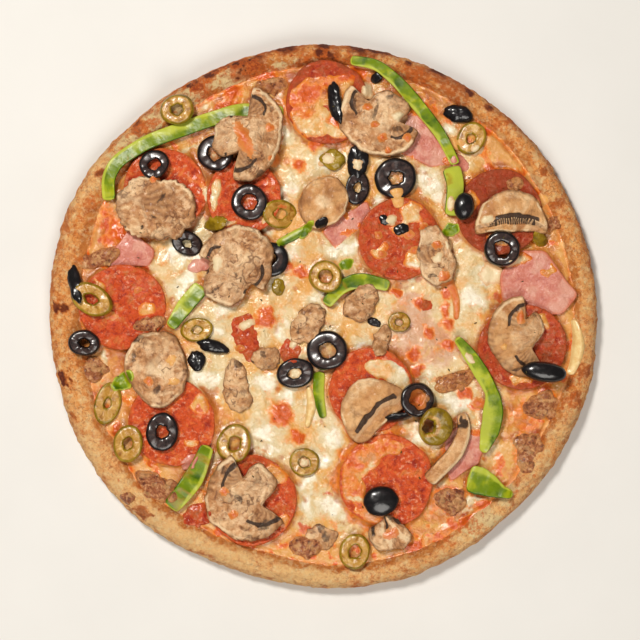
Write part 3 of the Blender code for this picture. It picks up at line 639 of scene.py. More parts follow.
# Blisters and cream where the cheese ran onto the rim: x, y, radius and strength
RIM_BLISTERS = [
    (-67, 121, 6, 1.2), (-58, 116, 5, 1.0), (-54, 131, 4, 1.1), (-39, 134, 6, 1.2), (-35, 127, 5, 1.0),
    (-26, 128, 5, 0.9), (-94, 100, 5, 0.8), (-122, 60, 6, 0.8), (-117, 49, 6, 0.7), (-128, 30, 4, 0.6),
    (0, 131, 8, 1.0), (14, 131, 6, 1.0), (128, -34, 5, 1.0), (127, -44, 4, 0.9), (66, -118, 5, 0.7),
    (76, -108, 6, 0.8), (104, -88, 5, 0.6), (-82, 113, 4, 0.9), (-104, 88, 5, 0.6), (48, 126, 6, 0.8),
    (92, 102, 5, 0.9), (122, 52, 5, 0.7), (128, 8, 4, 0.6), (-118, -62, 5, 0.5), (20, -134, 6, 0.5),
]
RIM_CREAM = [
    (-76, 113, 7, 1.0), (-50, 122, 6, 1.0), (-88, 103, 6, 0.8), (-66, 114, 6, 1.0), (-100, 92, 7, 0.7),
    (-44, 128, 5, 0.9), (-22, 131, 5, 0.8), (82, -104, 8, 0.7), (96, -92, 7, 0.6), (110, 72, 5, 0.5),
]


def spots(x, y, table, ragged=0.6, seed=5):
    """Round spots with ragged edges: the strongest of strength x a smooth fall from middle to edge."""
    value = np.zeros_like(x)
    wobble = 1.0 + ragged * rough(x, y, 3.0, seed, 3)
    for spot_x, spot_y, radius, strength in table:
        away = np.hypot(x - spot_x, y - spot_y) / radius * wobble
        value = np.maximum(value, strength * step(1.25 - away, 0.0, 0.6))
    return value


def make_crust():
    radius, height = smooth_profile(CRUST_PROFILE, CRUST_ROWS, 4, 18)
    angle = np.linspace(-math.pi, math.pi, CRUST_COLUMNS, endpoint=False)
    radius, angle = np.meshgrid(radius, angle, indexing="ij")
    height = np.repeat(height[:, None], angle.shape[1], axis=1)
    flat_x, flat_y = radius * np.cos(angle), radius * np.sin(angle)
    shaped = to_outline(radius, angle)
    rise = np.clip((radius - RIM_FOOT) / 9.0, 0.0, 1.0)
    lump = 0.07 * waves_8(flat_x, flat_y, 19.0, 13) * step(radius, 133.0, 137.0)
    lump = 0.14 * waves_8(flat_x, flat_y, 46.0, 12) + lump
    top = np.where(height > BED_TOP, BED_TOP + (height - BED_TOP) * (1.0 + rise * lump), height)
    x, y = shaped * np.cos(angle) - DOUGH_SHIFT[0], shaped * np.sin(angle) - DOUGH_SHIFT[1]
    dry = step(radius, 127.0, 134.0) * step(height, 0.5, 3.0)
    relief = (dough_relief(x, y, height) - 0.35) * dry
    sideways = np.clip((radius - 138.0) / 6.0, -0.4, 1.0)
    x = x + np.cos(angle) * relief * sideways
    y = y + np.sin(angle) * relief * sideways
    top = np.maximum(top + relief * (1.0 - np.abs(sideways)) * dry, 0.0)
    top = np.where(height <= 0.0, 0.0, top)
    # The wall is rolled out flat for the paint, so that no spot runs down it as a stripe
    down = 1.3 * np.where(radius > 138.0, np.maximum(12.0 - height, 0.0), 0.0)
    roll_x, roll_y = x + down * np.cos(angle), y + down * np.sin(angle)

    def blotch(size, seed, layers, low, high):
        return step(rough(roll_x, roll_y, size, seed, layers), low, high)

    brown = spots(roll_x, roll_y, RIM_SPOTS) + 0.5 * blotch(9.0, 41, 4, 0.45, 1.0) * dry
    brown = brown + 0.45 * step(3.5 - height, 0.0, 3.5) * blotch(20.0, 43, 3, -0.4, 0.6)
    brown = brown + 0.35 * step(134.0 - radius, 0.0, 4.0) * step(rough(x, y, 6.0, 45, 3), -0.2, 0.6)
    mottled = 1.0 + 0.8 * rough(roll_x, roll_y, 5.0, 46, 3)
    brown = brown + 0.32 * step(radius, 140.5, 144.0) * step(height, 1.0, 6.0) * mottled
    toward = np.degrees(angle)
    browner = np.interp(toward, *BROWNER) * blotch(9.0, 48, 3, -0.6, 0.5)
    brown = brown + browner * dry * step(height, -2.0, 9.0)
    pale = np.interp(toward, *PALER) * (0.75 + 0.5 * blotch(16.0, 47, 3, -0.6, 0.4))
    top_left = step(np.cos(angle - 2.05), 0.62, 0.95)
    ringed = step(136.5 + 5.0 * top_left - radius + 2.4 * rough(x, y, 7.0, 49, 4), 0.0, 4.0)
    points = np.stack([x, y, top], axis=-1)
    heap = Heap()
    heap.add(points, brown=brown, pale=pale, ringed=ringed,
             blister=spots(roll_x, roll_y, RIM_BLISTERS, 0.8, 6),
             cream=spots(roll_x, roll_y, RIM_CREAM, 0.8, 7))
    piece = heap.piece("crust_baked", make_crust_finish())
    return dress(piece, "baked_crust", "crust")


crust_piece = make_crust()
print("crust triangles:", triangles(crust_piece))

# %% [markdown]
# The ground.
# The ground is the height of everything so far. Each finished piece joins it, so later pieces rest on it.

# %% Ground


class Ground:
    """The height of the visible pizza so far."""

    def __init__(self):
        self.height = np.zeros_like(FIELD_X)

    def add(self, piece):
        points, tree = surface_of(piece.data)
        window = window_of(points.min(axis=0), points.max(axis=0))
        self.height[window] = np.fmax(self.height[window], rays(tree, window, False))

    def at(self, x, y):
        return read_field(self.height, x, y)


GROUND = Ground()
GROUND.add(crust_piece)
CRUST_TOP = blur(GROUND.height, 0.8)
print("ground ready, highest", GROUND.height.max().round(1))

# %% [markdown]
# The height of the dough and the cheese.
# The cheese ran over the sauce, climbed a little where it met each topping, and baked to a bumpy sheet.
# Its height is one field: a level, swells, a rise round the toppings, and films that run over some of them.

# %% Cheese height
BLISTERS = [
    (-38, 133, 6, 3, 10), (-68, 121, 6, 4, 20), (-58, 127, 5, 3, 20), (-13, 80, 4, 3, 0),
    (-31, -1, 6, 5, 0), (-12, 23, 4, 3, 0), (-18, 27, 4, 3, 0), (-23, -52, 7, 6, 0), (-14, -64, 4, 4, 0),
    (48, -20, 4, 3, 0), (50, -28, 4, 3, 0), (65, -15, 4, 3, 0), (65, -4, 4, 3, 0), (56, -8, 4, 3, 0),
    (38, 13, 4, 3, 0), (51, 7, 4, 3, 0), (65, 14, 5, 3, 80), (64, 4, 4, 2.5, 90), (75, -41, 4, 3, 0),
    (82, -46, 4, 3, 0), (85, -99, 5, 3, 20), (77, -108, 6, 3, 40), (-41, -127, 7, 3, -10),
    (-48, 119, 5, 4, 0), (-92, -78, 3, 3, 0), (-48, -60, 3, 3, 0), (118, -68, 4, 5, 0), (88, 79, 3, 3, 0),
    (112, 52, 4, 3, 0), (-99, 40, 3, 3, 0), (-8, 118, 7, 5, 30), (8, 104, 6, 5, 0), (-4, 92, 5, 4, 0),
    (12, 128, 5, 3, 0), (96, -96, 6, 4, 40), (-110, -60, 4, 5, 0), (-95, -104, 6, 3, -40),
    (-62, -118, 7, 3, -20), (20, -133, 6, 3, 0), (-108, 44, 4, 5, 0), (118, -40, 4, 5, 0),
    (112, -88, 5, 4, 50), (48, -122, 6, 3, 20), (-30, 128, 6, 3, 0), (-52, 112, 5, 3, 0),
]
CHEESE_TOP = 11.3
CHEESE_LUMP = 0.55
FIRST_LAYER = [name for name in solids if name.startswith(("pepperoni", "ham"))]
field_angle = np.arctan2(FIELD_Y + DOUGH_SHIFT[1], FIELD_X + DOUGH_SHIFT[0])
field_radius = np.hypot(FIELD_X + DOUGH_SHIFT[0], FIELD_Y + DOUGH_SHIFT[1])
# How far in from the edge each point lies, measured on the true circle
rim_scale = (RIM_WIDTH + waves(field_angle, RIM_WIDTH_WAVES)) / RIM_WIDTH
FROM_EDGE = (outline_radius(field_angle) - field_radius) / rim_scale
SHEET_RUN = [10.0, 13.1, 17.0, 24.0, 37.0]
SHEET_RISE = [13.4, 12.9, 12.1, 11.4, CHEESE_TOP]

# Films of cheese over slices: x, y, half length, half width, turn
FILMS = [
    (4, 121, 17, 10, 10), (-7, 104, 15, 13, 0), (12, 99, 12, 10, 0), (-8, 116, 12, 11, 0),
    (12, 112, 8, 10, 0), (46, 56, 9, 8, 60), (50, 31, 9, 8, 30), (30, 36, 7, 5, 0), (38, 47, 6, 4, 0),
    (33, -27, 13, 8, -10), (40, -38, 12, 15, 10), (19, -73, 14, 12, 10), (13, -88, 9, 15, 20),
    (24, -105, 13, 8, 0), (34, -68, 12, 7, 0), (-60, 66, 7, 14, 0), (-92, 4, 6, 4, 30),
    (112, -2, 9, 5, 20), (78, 62, 6, 6, 0), (-26, -84, 7, 9, 40), (62, -78, 8, 7, 40),
    (120, 26, 10, 5, 30), (104, 30, 8, 4, 0), (-40, 80, 10, 5, 0), (-64, -46, 9, 6, 20),
    (-50, 50, 8, 5, 0), (-30, 50, 6, 5, 0), (92, 40, 7, 5, 0), (-118, 14, 6, 5, 0), (-70, -68, 6, 5, 0),
    (-22, -108, 6, 6, 0), (104, -34, 8, 4, 0),
]


def ellipses(x, y, table, ragged, size, seed):
    """How deep inside a set of turned ellipses a point lies: 1 at a middle, 0 on an edge, made ragged."""
    value = np.full(np.shape(x), -1.0)
    shift_x = ragged * rough(x, y, size, seed, 4)
    shift_y = ragged * rough(x, y, size, seed + 50, 4)
    for row in table:
        centre_x, centre_y, long, wide, turn = row[:5]
        cosine, sine = math.cos(math.radians(turn)), math.sin(math.radians(turn))
        along = ((x - centre_x + shift_x) * cosine + (y - centre_y + shift_y) * sine) / long
        across = ((y - centre_y + shift_y) * cosine - (x - centre_x + shift_x) * sine) / wide
        value = np.maximum(value, 1.0 - np.hypot(along, across))
    return value


def cover_of(names, level=None):
    """1 where any of these solids stands over the grid. With a level, only solids that come down to it."""
    cover = np.zeros_like(FIELD_X)
    for name in names:
        solid = solids[name]
        low = solid.covers
        if level is not None:
            low = low & (np.nan_to_num(solid.under, nan=99.0) < level[solid.window] + 2.0)
        cover[solid.window] = np.maximum(cover[solid.window], low)
    return cover


def patch(x, y, table, ragged, size, seed, low=0.0, high=0.35):
    return step(ellipses(x, y, table, ragged, size, seed), low, high)


def make_cheese_height():
    """Level + swells + shreds + a rise round the toppings + blisters, with films over the first layer."""
    level = np.interp(FROM_EDGE, SHEET_RUN, SHEET_RISE)
    inside = np.clip((FROM_EDGE - 13.1) / 12.0, 0.0, 1.0)
    level = level + CHEESE_LUMP * inside * waves_8(FIELD_X, FIELD_Y, 27.0, 21)
    shreds = np.abs(rough(FIELD_X, FIELD_Y, 8.0, 61, 2)) + np.abs(rough(FIELD_X, FIELD_Y, 5.0, 63, 2))
    fine = rough(FIELD_X, FIELD_Y, 2.8, 66, 3)
    ripple = 0.42 * rough(FIELD_X, FIELD_Y, 12.0, 60, 2) - 0.42 * shreds + 0.10 * fine + 0.35
    level = level + (0.25 + 0.75 * inside) * ripple
    rise = 2.1 * blur(cover_of(list(solids), level), 1.6)
    level = level + np.clip(rise, 0.0, 1.15) * inside
    bubbles = patch(FIELD_X, FIELD_Y, BLISTERS, 2.0, 4.0, 91, -0.05, 0.6)
    puffs = np.maximum(rough(FIELD_X, FIELD_Y, 6.5, 68, 2) - 0.35, 0.0)
    level = level + 0.9 * bubbles + 0.5 * inside * puffs
    top = np.full(level.shape, np.nan)
    for name in FIRST_LAYER:
        solid = solids[name]
        top[solid.window] = np.fmax(top[solid.window], solid.top)
    flat = ~np.isnan(top)
    film_top = spread_patch(top, 1.2) + 0.75 + 0.35 * fine
    near_edge = 1.0 - blur(flat.astype(float), 2.2)
    lap = step(near_edge + 0.42 * rough(FIELD_X, FIELD_Y, 9.0, 75, 3), 0.46, 0.66)
    film = np.maximum(step(ellipses(FIELD_X, FIELD_Y, FILMS, 3.2, 7.0, 73), 0.02, 0.30), lap) * flat
    film = blur(film, 0.8)
    return level + film * np.maximum(film_top - level, 0.0), blur(film, 1.6), flat.astype(float)


CHEESE_HEIGHT, FILM, SLICES = make_cheese_height()
# Fields that steer painted shade on the cheese: round every topping, and in its hollows, where oil also pools
BESIDE = blur(cover_of(list(solids)), 1.5)
HOLLOW = blur(CHEESE_HEIGHT, 3.0) - CHEESE_HEIGHT
print("cheese height from", CHEESE_HEIGHT.min().round(1), "to", CHEESE_HEIGHT.max().round(1))

# %% [markdown]
# Paint for the cheese.
# Creamy, baked, blistered and oily patches are painted as numbers on the vertices, each a ragged ellipse.
# Painted shade round the toppings and in the hollows is added the same way, mixed with pooled oil.
# The tables give its middle, its half length, its half width and its turn in degrees.

# %% Cheese paint
WHITE_PATCHES = [
    (-63, 111, 4, 3, 0), (-70, 90, 11, 3, 15), (-63, 63, 7, 6, 0), (-110, 48, 3, 4, 0),
    (-20, 65, 8, 10, 0), (-19, 97, 5, 7, 0), (-32, 46, 7, 6, 0), (-67, 31, 14, 6, 0), (-79, 35, 8, 11, 0),
    (-74, 18, 10, 8, 0), (-76, 12, 7, 6, 0), (-16, 33, 9, 11, 0), (-25, 18, 8, 7, 0), (-52, 5, 9, 8, 0),
    (1, 83, 6, 6, 0), (54, 72, 11, 14, 0), (61, 64, 6, 9, 0), (9, 39, 11, 7, 0), (5, 35, 7, 6, 0),
    (16, 40, 6, 5, 0), (45, 24, 7, 6, 0), (78, 9, 12, 9, 0), (86, 22, 7, 6, 0), (65, 100, 5, 5, 0),
    (-115, -20, 4, 9, 0), (-63, -33, 12, 9, 0), (-59, -8, 7, 6, 0), (-49, -40, 7, 6, 0),
    (-25, -8, 8, 7, 0), (-31, -35, 9, 8, 0), (-18, -41, 7, 7, 0), (-32, -62, 13, 11, 0),
    (-30, -71, 8, 7, 0), (-9, -88, 6, 5, 0), (-6, -49, 3, 11, 0), (-8, -99, 6, 9, 0), (4, -63, 8, 10, 0),
    (41, -29, 8, 7, 0), (72, -47, 11, 12, 0), (65, -43, 7, 7, 0), (48, -64, 12, 8, 0), (4, -102, 9, 7, 0),
    (-1, -75, 7, 6, 0), (77, -98, 12, 4, 40), (0, 10, 9, 5, 0), (22, -17, 8, 7, 0), (-47, 16, 7, 6, 0),
    (30, 60, 6, 6, 0), (-10, -30, 6, 4, 0), (57, -33, 7, 5, 0),
]
YELLOW_PATCHES = [
    (-5, 92, 6, 8, 0), (-102, -86, 8, 7, 0), (-93, -97, 6, 6, 0), (99, -76, 6, 6, 0), (64, 90, 9, 8, 0),
    (84, 98, 10, 26, 45), (104, 82, 8, 16, 35), (126, 20, 6, 22, 0), (6, -126, 34, 7, 0),
    (40, -122, 20, 7, 20), (-118, 60, 6, 14, -25), (-60, 118, 14, 6, 25), (88, -104, 12, 6, 40),
    (-30, -38, 3, 2, 0), (-68, -44, 3, 2, 0), (-10, -91, 3, 2, 0), (7, -109, 3, 2, 0), (19, 27, 3, 2, 0),
]
PINK_PATCHES = [(53, -14, 20, 15, -20), (46, 3, 14, 9, 20), (-32, 46, 5, 5, 0), (110, -58, 4, 7, 10)]
SAUCE_PATCHES = [
    (-116, 50, 4, 13, 10), (66, -95, 9, 7, 0), (66, -117, 7, 3, 30), (2, -95, 4, 3, 0),
    (-10, -113, 6, 3, 0), (-12, 23, 5, 3, 20), (93, 9, 5, 3, 0), (-54, -104, 4, 8, 10),
    (-96, 24, 4, 5, 0), (28, 20, 5, 3, 0), (-84, 100, 14, 2.5, 20), (-64, -52, 4, 5, 0),
    (14, -60, 4, 4, 0), (88, -56, 3, 5, 0),
]
OIL_HALO = blur(cover_of([name for name in solids if name.startswith("pepperoni")]), 3.0)


RED_FILMS = [
    (19, -74, 12, 9, 10), (14, -88, 8, 13, 60), (22, -105, 12, 6, 0), (32, -67, 12, 7, 0),
    (2, 126, 15, 7, 10), (-12, 112, 8, 9, 0), (12, 104, 8, 8, 0), (-114, 48, 6, 14, 10),
    (108, -52, 7, 9, 0), (106, -78, 7, 8, 40), (92, 66, 8, 6, 0), (-58, 122, 10, 5, 20),
    (-33, 128, 9, 5, 10), (66, -96, 10, 8, 0), (62, -118, 9, 5, 30),
]
BROWNED = [
    (108, -62, 13, 26, 10), (70, -98, 14, 9, 20), (-60, 121, 26, 8, 22), (-20, 129, 18, 8, 0),
    (-116, 50, 6, 16, 10), (4, 112, 19, 15, 0), (86, 64, 12, 10, 0), (16, -78, 9, 12, 0),
    (-100, -62, 9, 12, 0), (-90, -100, 16, 8, -35), (-104, 84, 8, 12, -40), (118, 10, 8, 14, 0),
    (90, 96, 14, 8, -45), (0, -128, 30, 5, 0), (60, 120, 14, 5, -30),
]

# How much pale dough shows through the ring in each direction, in degrees from +X
TAN_RING = ([-180, -150, -110, -80, -40, 0, 40, 60, 90, 140, 180],
            [0.6, 1.0, 1.0, 0.7, 0.2, 0.5, 0.7, 0.6, 0.0, 0.7, 0.6])


def cheese_paint(x, y, from_edge):
    """The numbers that steer the colour of the cheese at each of its points."""
    ring = step(from_edge, 14.0, 46.0)
    browned = patch(x, y, BROWNED, 5.0, 9.0, 82, -0.3, 0.4)
    bake = 0.92 - 0.86 * ring + 0.60 * rough(x, y, 12.0, 81, 4) + 0.5 * browned
    white = ellipses(x, y, WHITE_PATCHES, 4.2, 7.0, 83) * 1.5 + 0.35 - 0.5 * (1.0 - ring)
    dough = 1.0 - step(from_edge + 1.8 * rough(x, y, 6.0, 84, 4), 13.2, 18.0)
    yellow = np.maximum(patch(x, y, YELLOW_PATCHES, 2.0, 5.0, 85),
                        0.7 * step(rough(x, y, 11.0, 86, 3), 0.1, 0.8))
    pink = patch(x, y, PINK_PATCHES, 4.0, 9.0, 87, -0.2, 0.5)
    sauce = patch(x, y, SAUCE_PATCHES, 3.5, 5.0, 89, -0.3, 0.5)
    blister = patch(x, y, BLISTERS, 2.0, 4.0, 91, -0.45, 0.50)
    blister = np.maximum(blister, 0.95 * step(rough(x, y, 5.5, 68, 3), 0.15, 0.70) * (1.0 - 0.75 * ring))
    halo, film = read_field(OIL_HALO, x, y), read_field(FILM, x, y)
    thin = read_field(SLICES, x, y) * (1.0 - step(film, 0.50, 0.98))
    # Painted contact shade on the cheese round each topping, where oil also gathers
    beside = step(read_field(BESIDE, x, y), 0.05, 0.45) * (1.0 - read_field(SLICES, x, y))
    red = patch(x, y, RED_FILMS, 3.0, 6.0, 88, -0.15, 0.35)
    # Oil round and on the slices, with the painted contact shade beside the toppings added in
    oil_and_contact_shade = 3.2 * halo * (1.0 - halo) + 1.1 * thin + 0.15 * (1.0 - ring) + 0.9 * beside + red
    blister = np.maximum(blister, np.maximum(0.75 * thin, red * (0.55 + 0.5 * rough(x, y, 5.0, 95, 3))))
    toward = np.degrees(np.arctan2(y, x))
    tan = np.interp(toward, *TAN_RING) * (1.0 - step(from_edge, 12.0, 34.0)) * (1.0 - 0.6 * red)
    # Painted shade with pooled oil in the hollows of the cheese and beside the toppings; it also takes cream
    # away
    hollow = read_field(HOLLOW, x, y)
    pooled_oil_and_shade = step(hollow, 0.05, 0.75) + 0.7 * beside * step(rough(x, y, 7.0, 96, 3), -0.5, 0.4)
    white, yellow = white - 0.9 * red - 0.35 * beside - 0.5 * pooled_oil_and_shade, yellow * (1.0 - red)
    return {"bake": bake, "white": np.clip(white, 0.0, 1.3), "yellow": yellow, "pink": pink, "sauce": sauce,
            "blister": blister, "oil_and_contact_shade": oil_and_contact_shade, "dough": dough, "pooled_oil_and_shade": pooled_oil_and_shade, "tan": tan}


def make_cheese_finish():
    finish = Finish("melted_cheese", roughness=0.28, specular=0.5, coat=0.2)
    bake, white, sauce = finish.painted("bake"), finish.painted("white"), finish.painted("sauce")
    blister, pink, yellow = finish.painted("blister"), finish.painted("pink"), finish.painted("yellow")
    oil_and_contact_shade, dough, pooled_oil_and_shade = finish.painted("oil_and_contact_shade"), finish.painted("dough"), finish.painted("pooled_oil_and_shade")
    tone = finish.shaken(finish.shaken(bake, 6.0, 1.5), 1.8, 0.6)
    base = finish.mix(finish.band(tone, -0.30, 0.40), rgb(222, 196, 148), rgb(220, 160, 84))
    base = finish.mix(finish.band(tone, 0.35, 0.95), base, rgb(204, 122, 50))
    base = finish.mix(finish.band(tone, 0.90, 1.50), base, rgb(160, 66, 20))
    base = finish.stain(base, finish.shaken(yellow, 4.0, 0.8), 0.2, 1.1, 0.70, (214, 152, 66))
    base = finish.stain(base, finish.shaken(pink, 4.0, 0.8), 0.1, 0.9, 0.65, (204, 146, 124))
    # Oil, with painted contact shade beside the toppings
    base = finish.stain(base, finish.shaken(oil_and_contact_shade, 4.0, 1.0), 0.30, 1.2, 0.70, (186, 92, 26))
    tan = finish.shaken(finish.shaken(finish.painted("tan"), 7.0, 1.0), 2.4, 0.5)
    base = finish.stain(base, tan, 0.05, 0.75, 0.80, (222, 164, 96))
    base = finish.stain(base, tan, 0.75, 1.15, 0.70, (240, 206, 150))
    base = finish.stain(base, finish.shaken(sauce, 2.6, 1.2), 0.25, 0.95, 0.85, (200, 66, 20))
    cream = finish.shaken(finish.shaken(white, 8.0, 1.2), 3.0, 0.6)
    base = finish.stain(base, cream, 0.10, 0.90, 0.90, (216, 198, 156))
    base = finish.stain(base, cream, 0.80, 1.50, 0.9, (252, 244, 226))
    base = finish.stain(base, finish.noise(8.0, 4.0, 0.6, 0.8), 0.52, 0.66, 0.42, (216, 172, 92))
    # Small painted shadows, scattered by a fine noise
    base = finish.stain(base, finish.noise(3.2, 5.0, 0.65, 1.0), 0.54, 0.68, 0.34, (184, 134, 72))
    # Painted shade, with pooled oil, in the hollows and beside the toppings
    pooled_oil_and_shade_share = finish.band(finish.shaken(finish.shaken(pooled_oil_and_shade, 3.0, 0.9), 1.2, 0.4), 0.25, 1.15)
    base = finish.cover(base, pooled_oil_and_shade_share, 0.75, rgb(168, 84, 30))
    crusty = finish.mottle(5.0, [(180, 84, 28), (216, 132, 60), (242, 186, 116)])
    base = finish.mix(finish.band(finish.shaken(dough, 2.4, 0.8), 0.25, 0.95), base, crusty)
    spot = finish.shaken(finish.shaken(blister, 3.0, 0.9), 1.2, 0.4)
    base = finish.stain(base, spot, 0.10, 0.55, 0.80, (228, 128, 40))
    base = finish.stain(base, spot, 0.50, 0.95, 0.85, (206, 78, 18))
    base = finish.stain(base, spot, 0.95, 1.35, 0.85, (126, 38, 14))
    finish.roughness(finish.band(finish.noise(3.0, 4.0), -0.15, 2.2))
    return finish.done(base, ((5.0, 5.0, 0.55, 0.6), 1.5), ((1.5, 3.0, 0.5, 0.4), 0.22))


CHEESE_FINISH = make_cheese_finish()
print("cheese finish ready")

# %% [markdown]
# The cheese.
# A disc is awkward to cover with an even grid. A square grid bent to a disc keeps its cells about alike.
# The edge is turned down into the dough and closed below, so the sheet is a solid like the real one.

# %% The cheese
CHEESE_GRID = 300
CHEESE_EDGE_IN = 12.6
# The buried side of the sheet, from its edge down to its underside: share of the radius, height
CHEESE_WALL = ((0.99, 10.4), (0.96, 8.6), (0.90, 7.3), (0.5, 7.3))


def make_cheese():
    line = np.linspace(-1.0, 1.0, CHEESE_GRID)
    u, v = np.meshgrid(line, line, indexing="ij")
    x, y = u * np.sqrt(1.0 - v * v / 2.0), v * np.sqrt(1.0 - u * u / 2.0)
    angle, share = np.arctan2(y, x), np.hypot(x, y)
    ragged = 1.5 * rough(100.0 * np.cos(angle), 100.0 * np.sin(angle), 11.0, 93, 4)
    width = (RIM_WIDTH + waves(angle, RIM_WIDTH_WAVES)) / RIM_WIDTH
    edge = outline_radius(angle) - (CHEESE_EDGE_IN + ragged) * width
    x, y = edge * share * np.cos(angle) - DOUGH_SHIFT[0], edge * share * np.sin(angle) - DOUGH_SHIFT[1]
    z = read_field(CHEESE_HEIGHT, x, y)
    dough = read_field(CRUST_TOP, x, y)
    fall = step(share, 0.965, 1.0)
    z = z + fall * (dough - 0.4 - z)
    index = np.arange(CHEESE_GRID * CHEESE_GRID).reshape(CHEESE_GRID, CHEESE_GRID)
    loop = np.concatenate([index[:-1, 0], index[-1, :-1], index[:0:-1, -1], index[0, :0:-1]])
    top = np.column_stack([x.ravel(), y.ravel(), z.ravel()])
    count = len(loop)
    rows = []
    for shrink, height in CHEESE_WALL:
        row = top[loop].copy()
        row[:, :2] = (row[:, :2] + DOUGH_SHIFT) * shrink - DOUGH_SHIFT
        row[:, 2] = np.minimum(height, row[:, 2] - 0.3)
        rows.append(row)
    points = np.vstack([top] + rows + [[[-DOUGH_SHIFT[0], -DOUGH_SHIFT[1], CHEESE_WALL[-1][1]]]])
    quads = np.stack([index[:-1, :-1], index[1:, :-1], index[1:, 1:], index[:-1, 1:]], axis=-1).reshape(-1, 4)
    rings = [loop] + [len(top) + k * count + np.arange(count) for k in range(len(CHEESE_WALL))]
    walls = [np.stack([upper, lower, np.roll(lower, -1), np.roll(upper, -1)], axis=-1)[:, ::-1]
             for upper, lower in zip(rings[:-1], rings[1:])]
    quads = np.vstack([quads] + walls)
    fan = np.stack([rings[-1], np.roll(rings[-1], -1), np.full(count, len(points) - 1)], axis=-1)
    sizes = np.concatenate([np.full(len(quads), 4), np.full(len(fan), 3)])
    corners = outward(points, np.concatenate([quads.ravel(), fan.ravel()]), sizes)
    paint = cheese_paint(points[:, 0], points[:, 1], read_field(FROM_EDGE, points[:, 0], points[:, 1]))
    piece = mesh_piece("cheese_sheet", points, corners, sizes, paint, CHEESE_FINISH)
    return dress(piece, "melted_cheese", "cheese")


cheese_piece = make_cheese()
print("cheese triangles:", triangles(cheese_piece))

# %% [markdown]
# Laying things down.
# A topping takes its footprint, resting height and top from its solid, softened, and gets its own relief.

# %% Ground and outlines
GROUND.add(cheese_piece)


def footprint(name, middle, count, soften=2):
    """How far a solid reaches from a middle point in each direction, with its corners softened."""
    solid = solids[name]
    whole = np.zeros_like(FIELD_X)
    whole[solid.window] = solid.covers
    whole = blur(whole, 0.5)
    angle = circle(count)
    reach = np.arange(0.0, 75.0, 0.25)
    ray_x, ray_y = middle[0] + reach[:, None] * np.cos(angle), middle[1] + reach[:, None] * np.sin(angle)
    inside = read_field(whole, ray_x, ray_y) > 0.5
    radius = reach[len(reach) - 1 - np.argmax(inside[::-1], axis=0)]
    for _ in range(soften):
        radius = (np.roll(radius, 1) + 2.0 * radius + np.roll(radius, -1)) / 4.0
    return radius


def faces_of(name, soften):
    """Two functions of x and y: the softened underside and top of a solid."""
    solid = solids[name]
    return (patch_reader(solid.window, spread_patch(solid.under, soften)),
            patch_reader(solid.window, spread_patch(solid.top, soften)))


def pillow(middle, radius, edge, top_of, under_of, rows=26, under_rows=5, edge_rows=7):
    """A closed slice with a rounded edge.

    radius gives its reach in each direction. Rows run from the middle of the top over the edge to below.
    Gives the points, and for each the share of the way out and the side: 1 on the top, -1 below.
    """
    angle = circle(len(radius))
    turn = np.linspace(0.0, math.pi, edge_rows)
    inner = np.linspace(0.0, 1.0, rows, endpoint=False) ** 0.85
    outer = np.linspace(1.0, 0.0, under_rows + 1)[1:]
    out = np.concatenate([inner, np.ones(edge_rows), outer])[:, None]
    bulge = np.concatenate([np.zeros(rows), np.sin(turn), np.zeros(under_rows)])[:, None]
    side = np.concatenate([np.ones(rows), np.cos(turn), -np.ones(under_rows)])[:, None]
    reach = out * (radius - edge) + bulge * edge
    x = middle[0] + reach * np.cos(angle)
    y = middle[1] + reach * np.sin(angle)
    top, under = top_of(x, y), under_of(x, y)
    z = (top + under) / 2.0 + side * (top - under) / 2.0
    return np.stack([x, y, z], axis=-1), reach / radius, side + 0.0 * x


def lay(name, points, finish, slot, node, ring=False, **paint):
    """Turn one skin into a piece that stands for a solid, and count it as ground."""
    heap = Heap()
    heap.add(points, ring=ring, **paint)
    piece = heap.piece(name, finish)
    GROUND.add(piece)
    return dress(piece, slot, node)


print("highest with the cheese on", GROUND.height.max().round(1))

# %% [markdown]
# Pepperoni.
# In the oven a slice renders its fat, darkens at the edge and cups a little. Each slice is its own round.
# The reddish meat has pale fat flecks: they show where one fine and one coarse noise are both high.

# %% Pepperoni
PEPPERONI = {
    1: ((2, 113), 0.6), 2: ((-84, 66), 0.15), 3: ((-42, 63), 0.25), 4: ((-106, 5), 0.3),
    5: ((-80, -56), 0.15), 6: ((-38, -97), 0.3), 7: ((93, 55), 0.78), 8: ((40, 41), 0.45),
    9: ((105, -16), 0.55), 10: ((25, -39), 0.2), 11: ((33, -87), 0.15),
}


def make_pepperoni_finish():
    finish = Finish("pepperoni", roughness=0.30, specular=0.4, coat=0.12)
    base = finish.mottle(5.0, [(158, 34, 6), (214, 78, 22), (240, 132, 60)], 0.32, 0.68)
    pale = finish.product(finish.band(finish.noise(2.0, 5.0, 0.6), 0.52, 0.62),
                        finish.band(finish.noise(9.0, 2.0), 0.36, 0.56))
    base = finish.cover(base, pale, 0.60, rgb(250, 176, 138))
    base = finish.cover(base, finish.lines(4.0, 0.03), 0.4, rgb(150, 32, 10))
    edge, dark = finish.shaken(finish.painted("edge"), 3.0, 1.0), finish.painted("dark")
    base = finish.stain(base, edge, 0.35, 1.0, 0.60, (214, 92, 34))
    base = finish.stain(base, finish.shaken(dark, 5.0, 1.6), 0.20, 0.95, 0.85, (140, 54, 20))
    finish.roughness(finish.band(finish.noise(2.5, 4.0), -0.25, 1.3))
    return finish.done(base, ((3.4, 6.0, 0.62, 0.6), 2.4), ((1.0, 4.0), 0.4))


PEPPERONI_FINISH = make_pepperoni_finish()


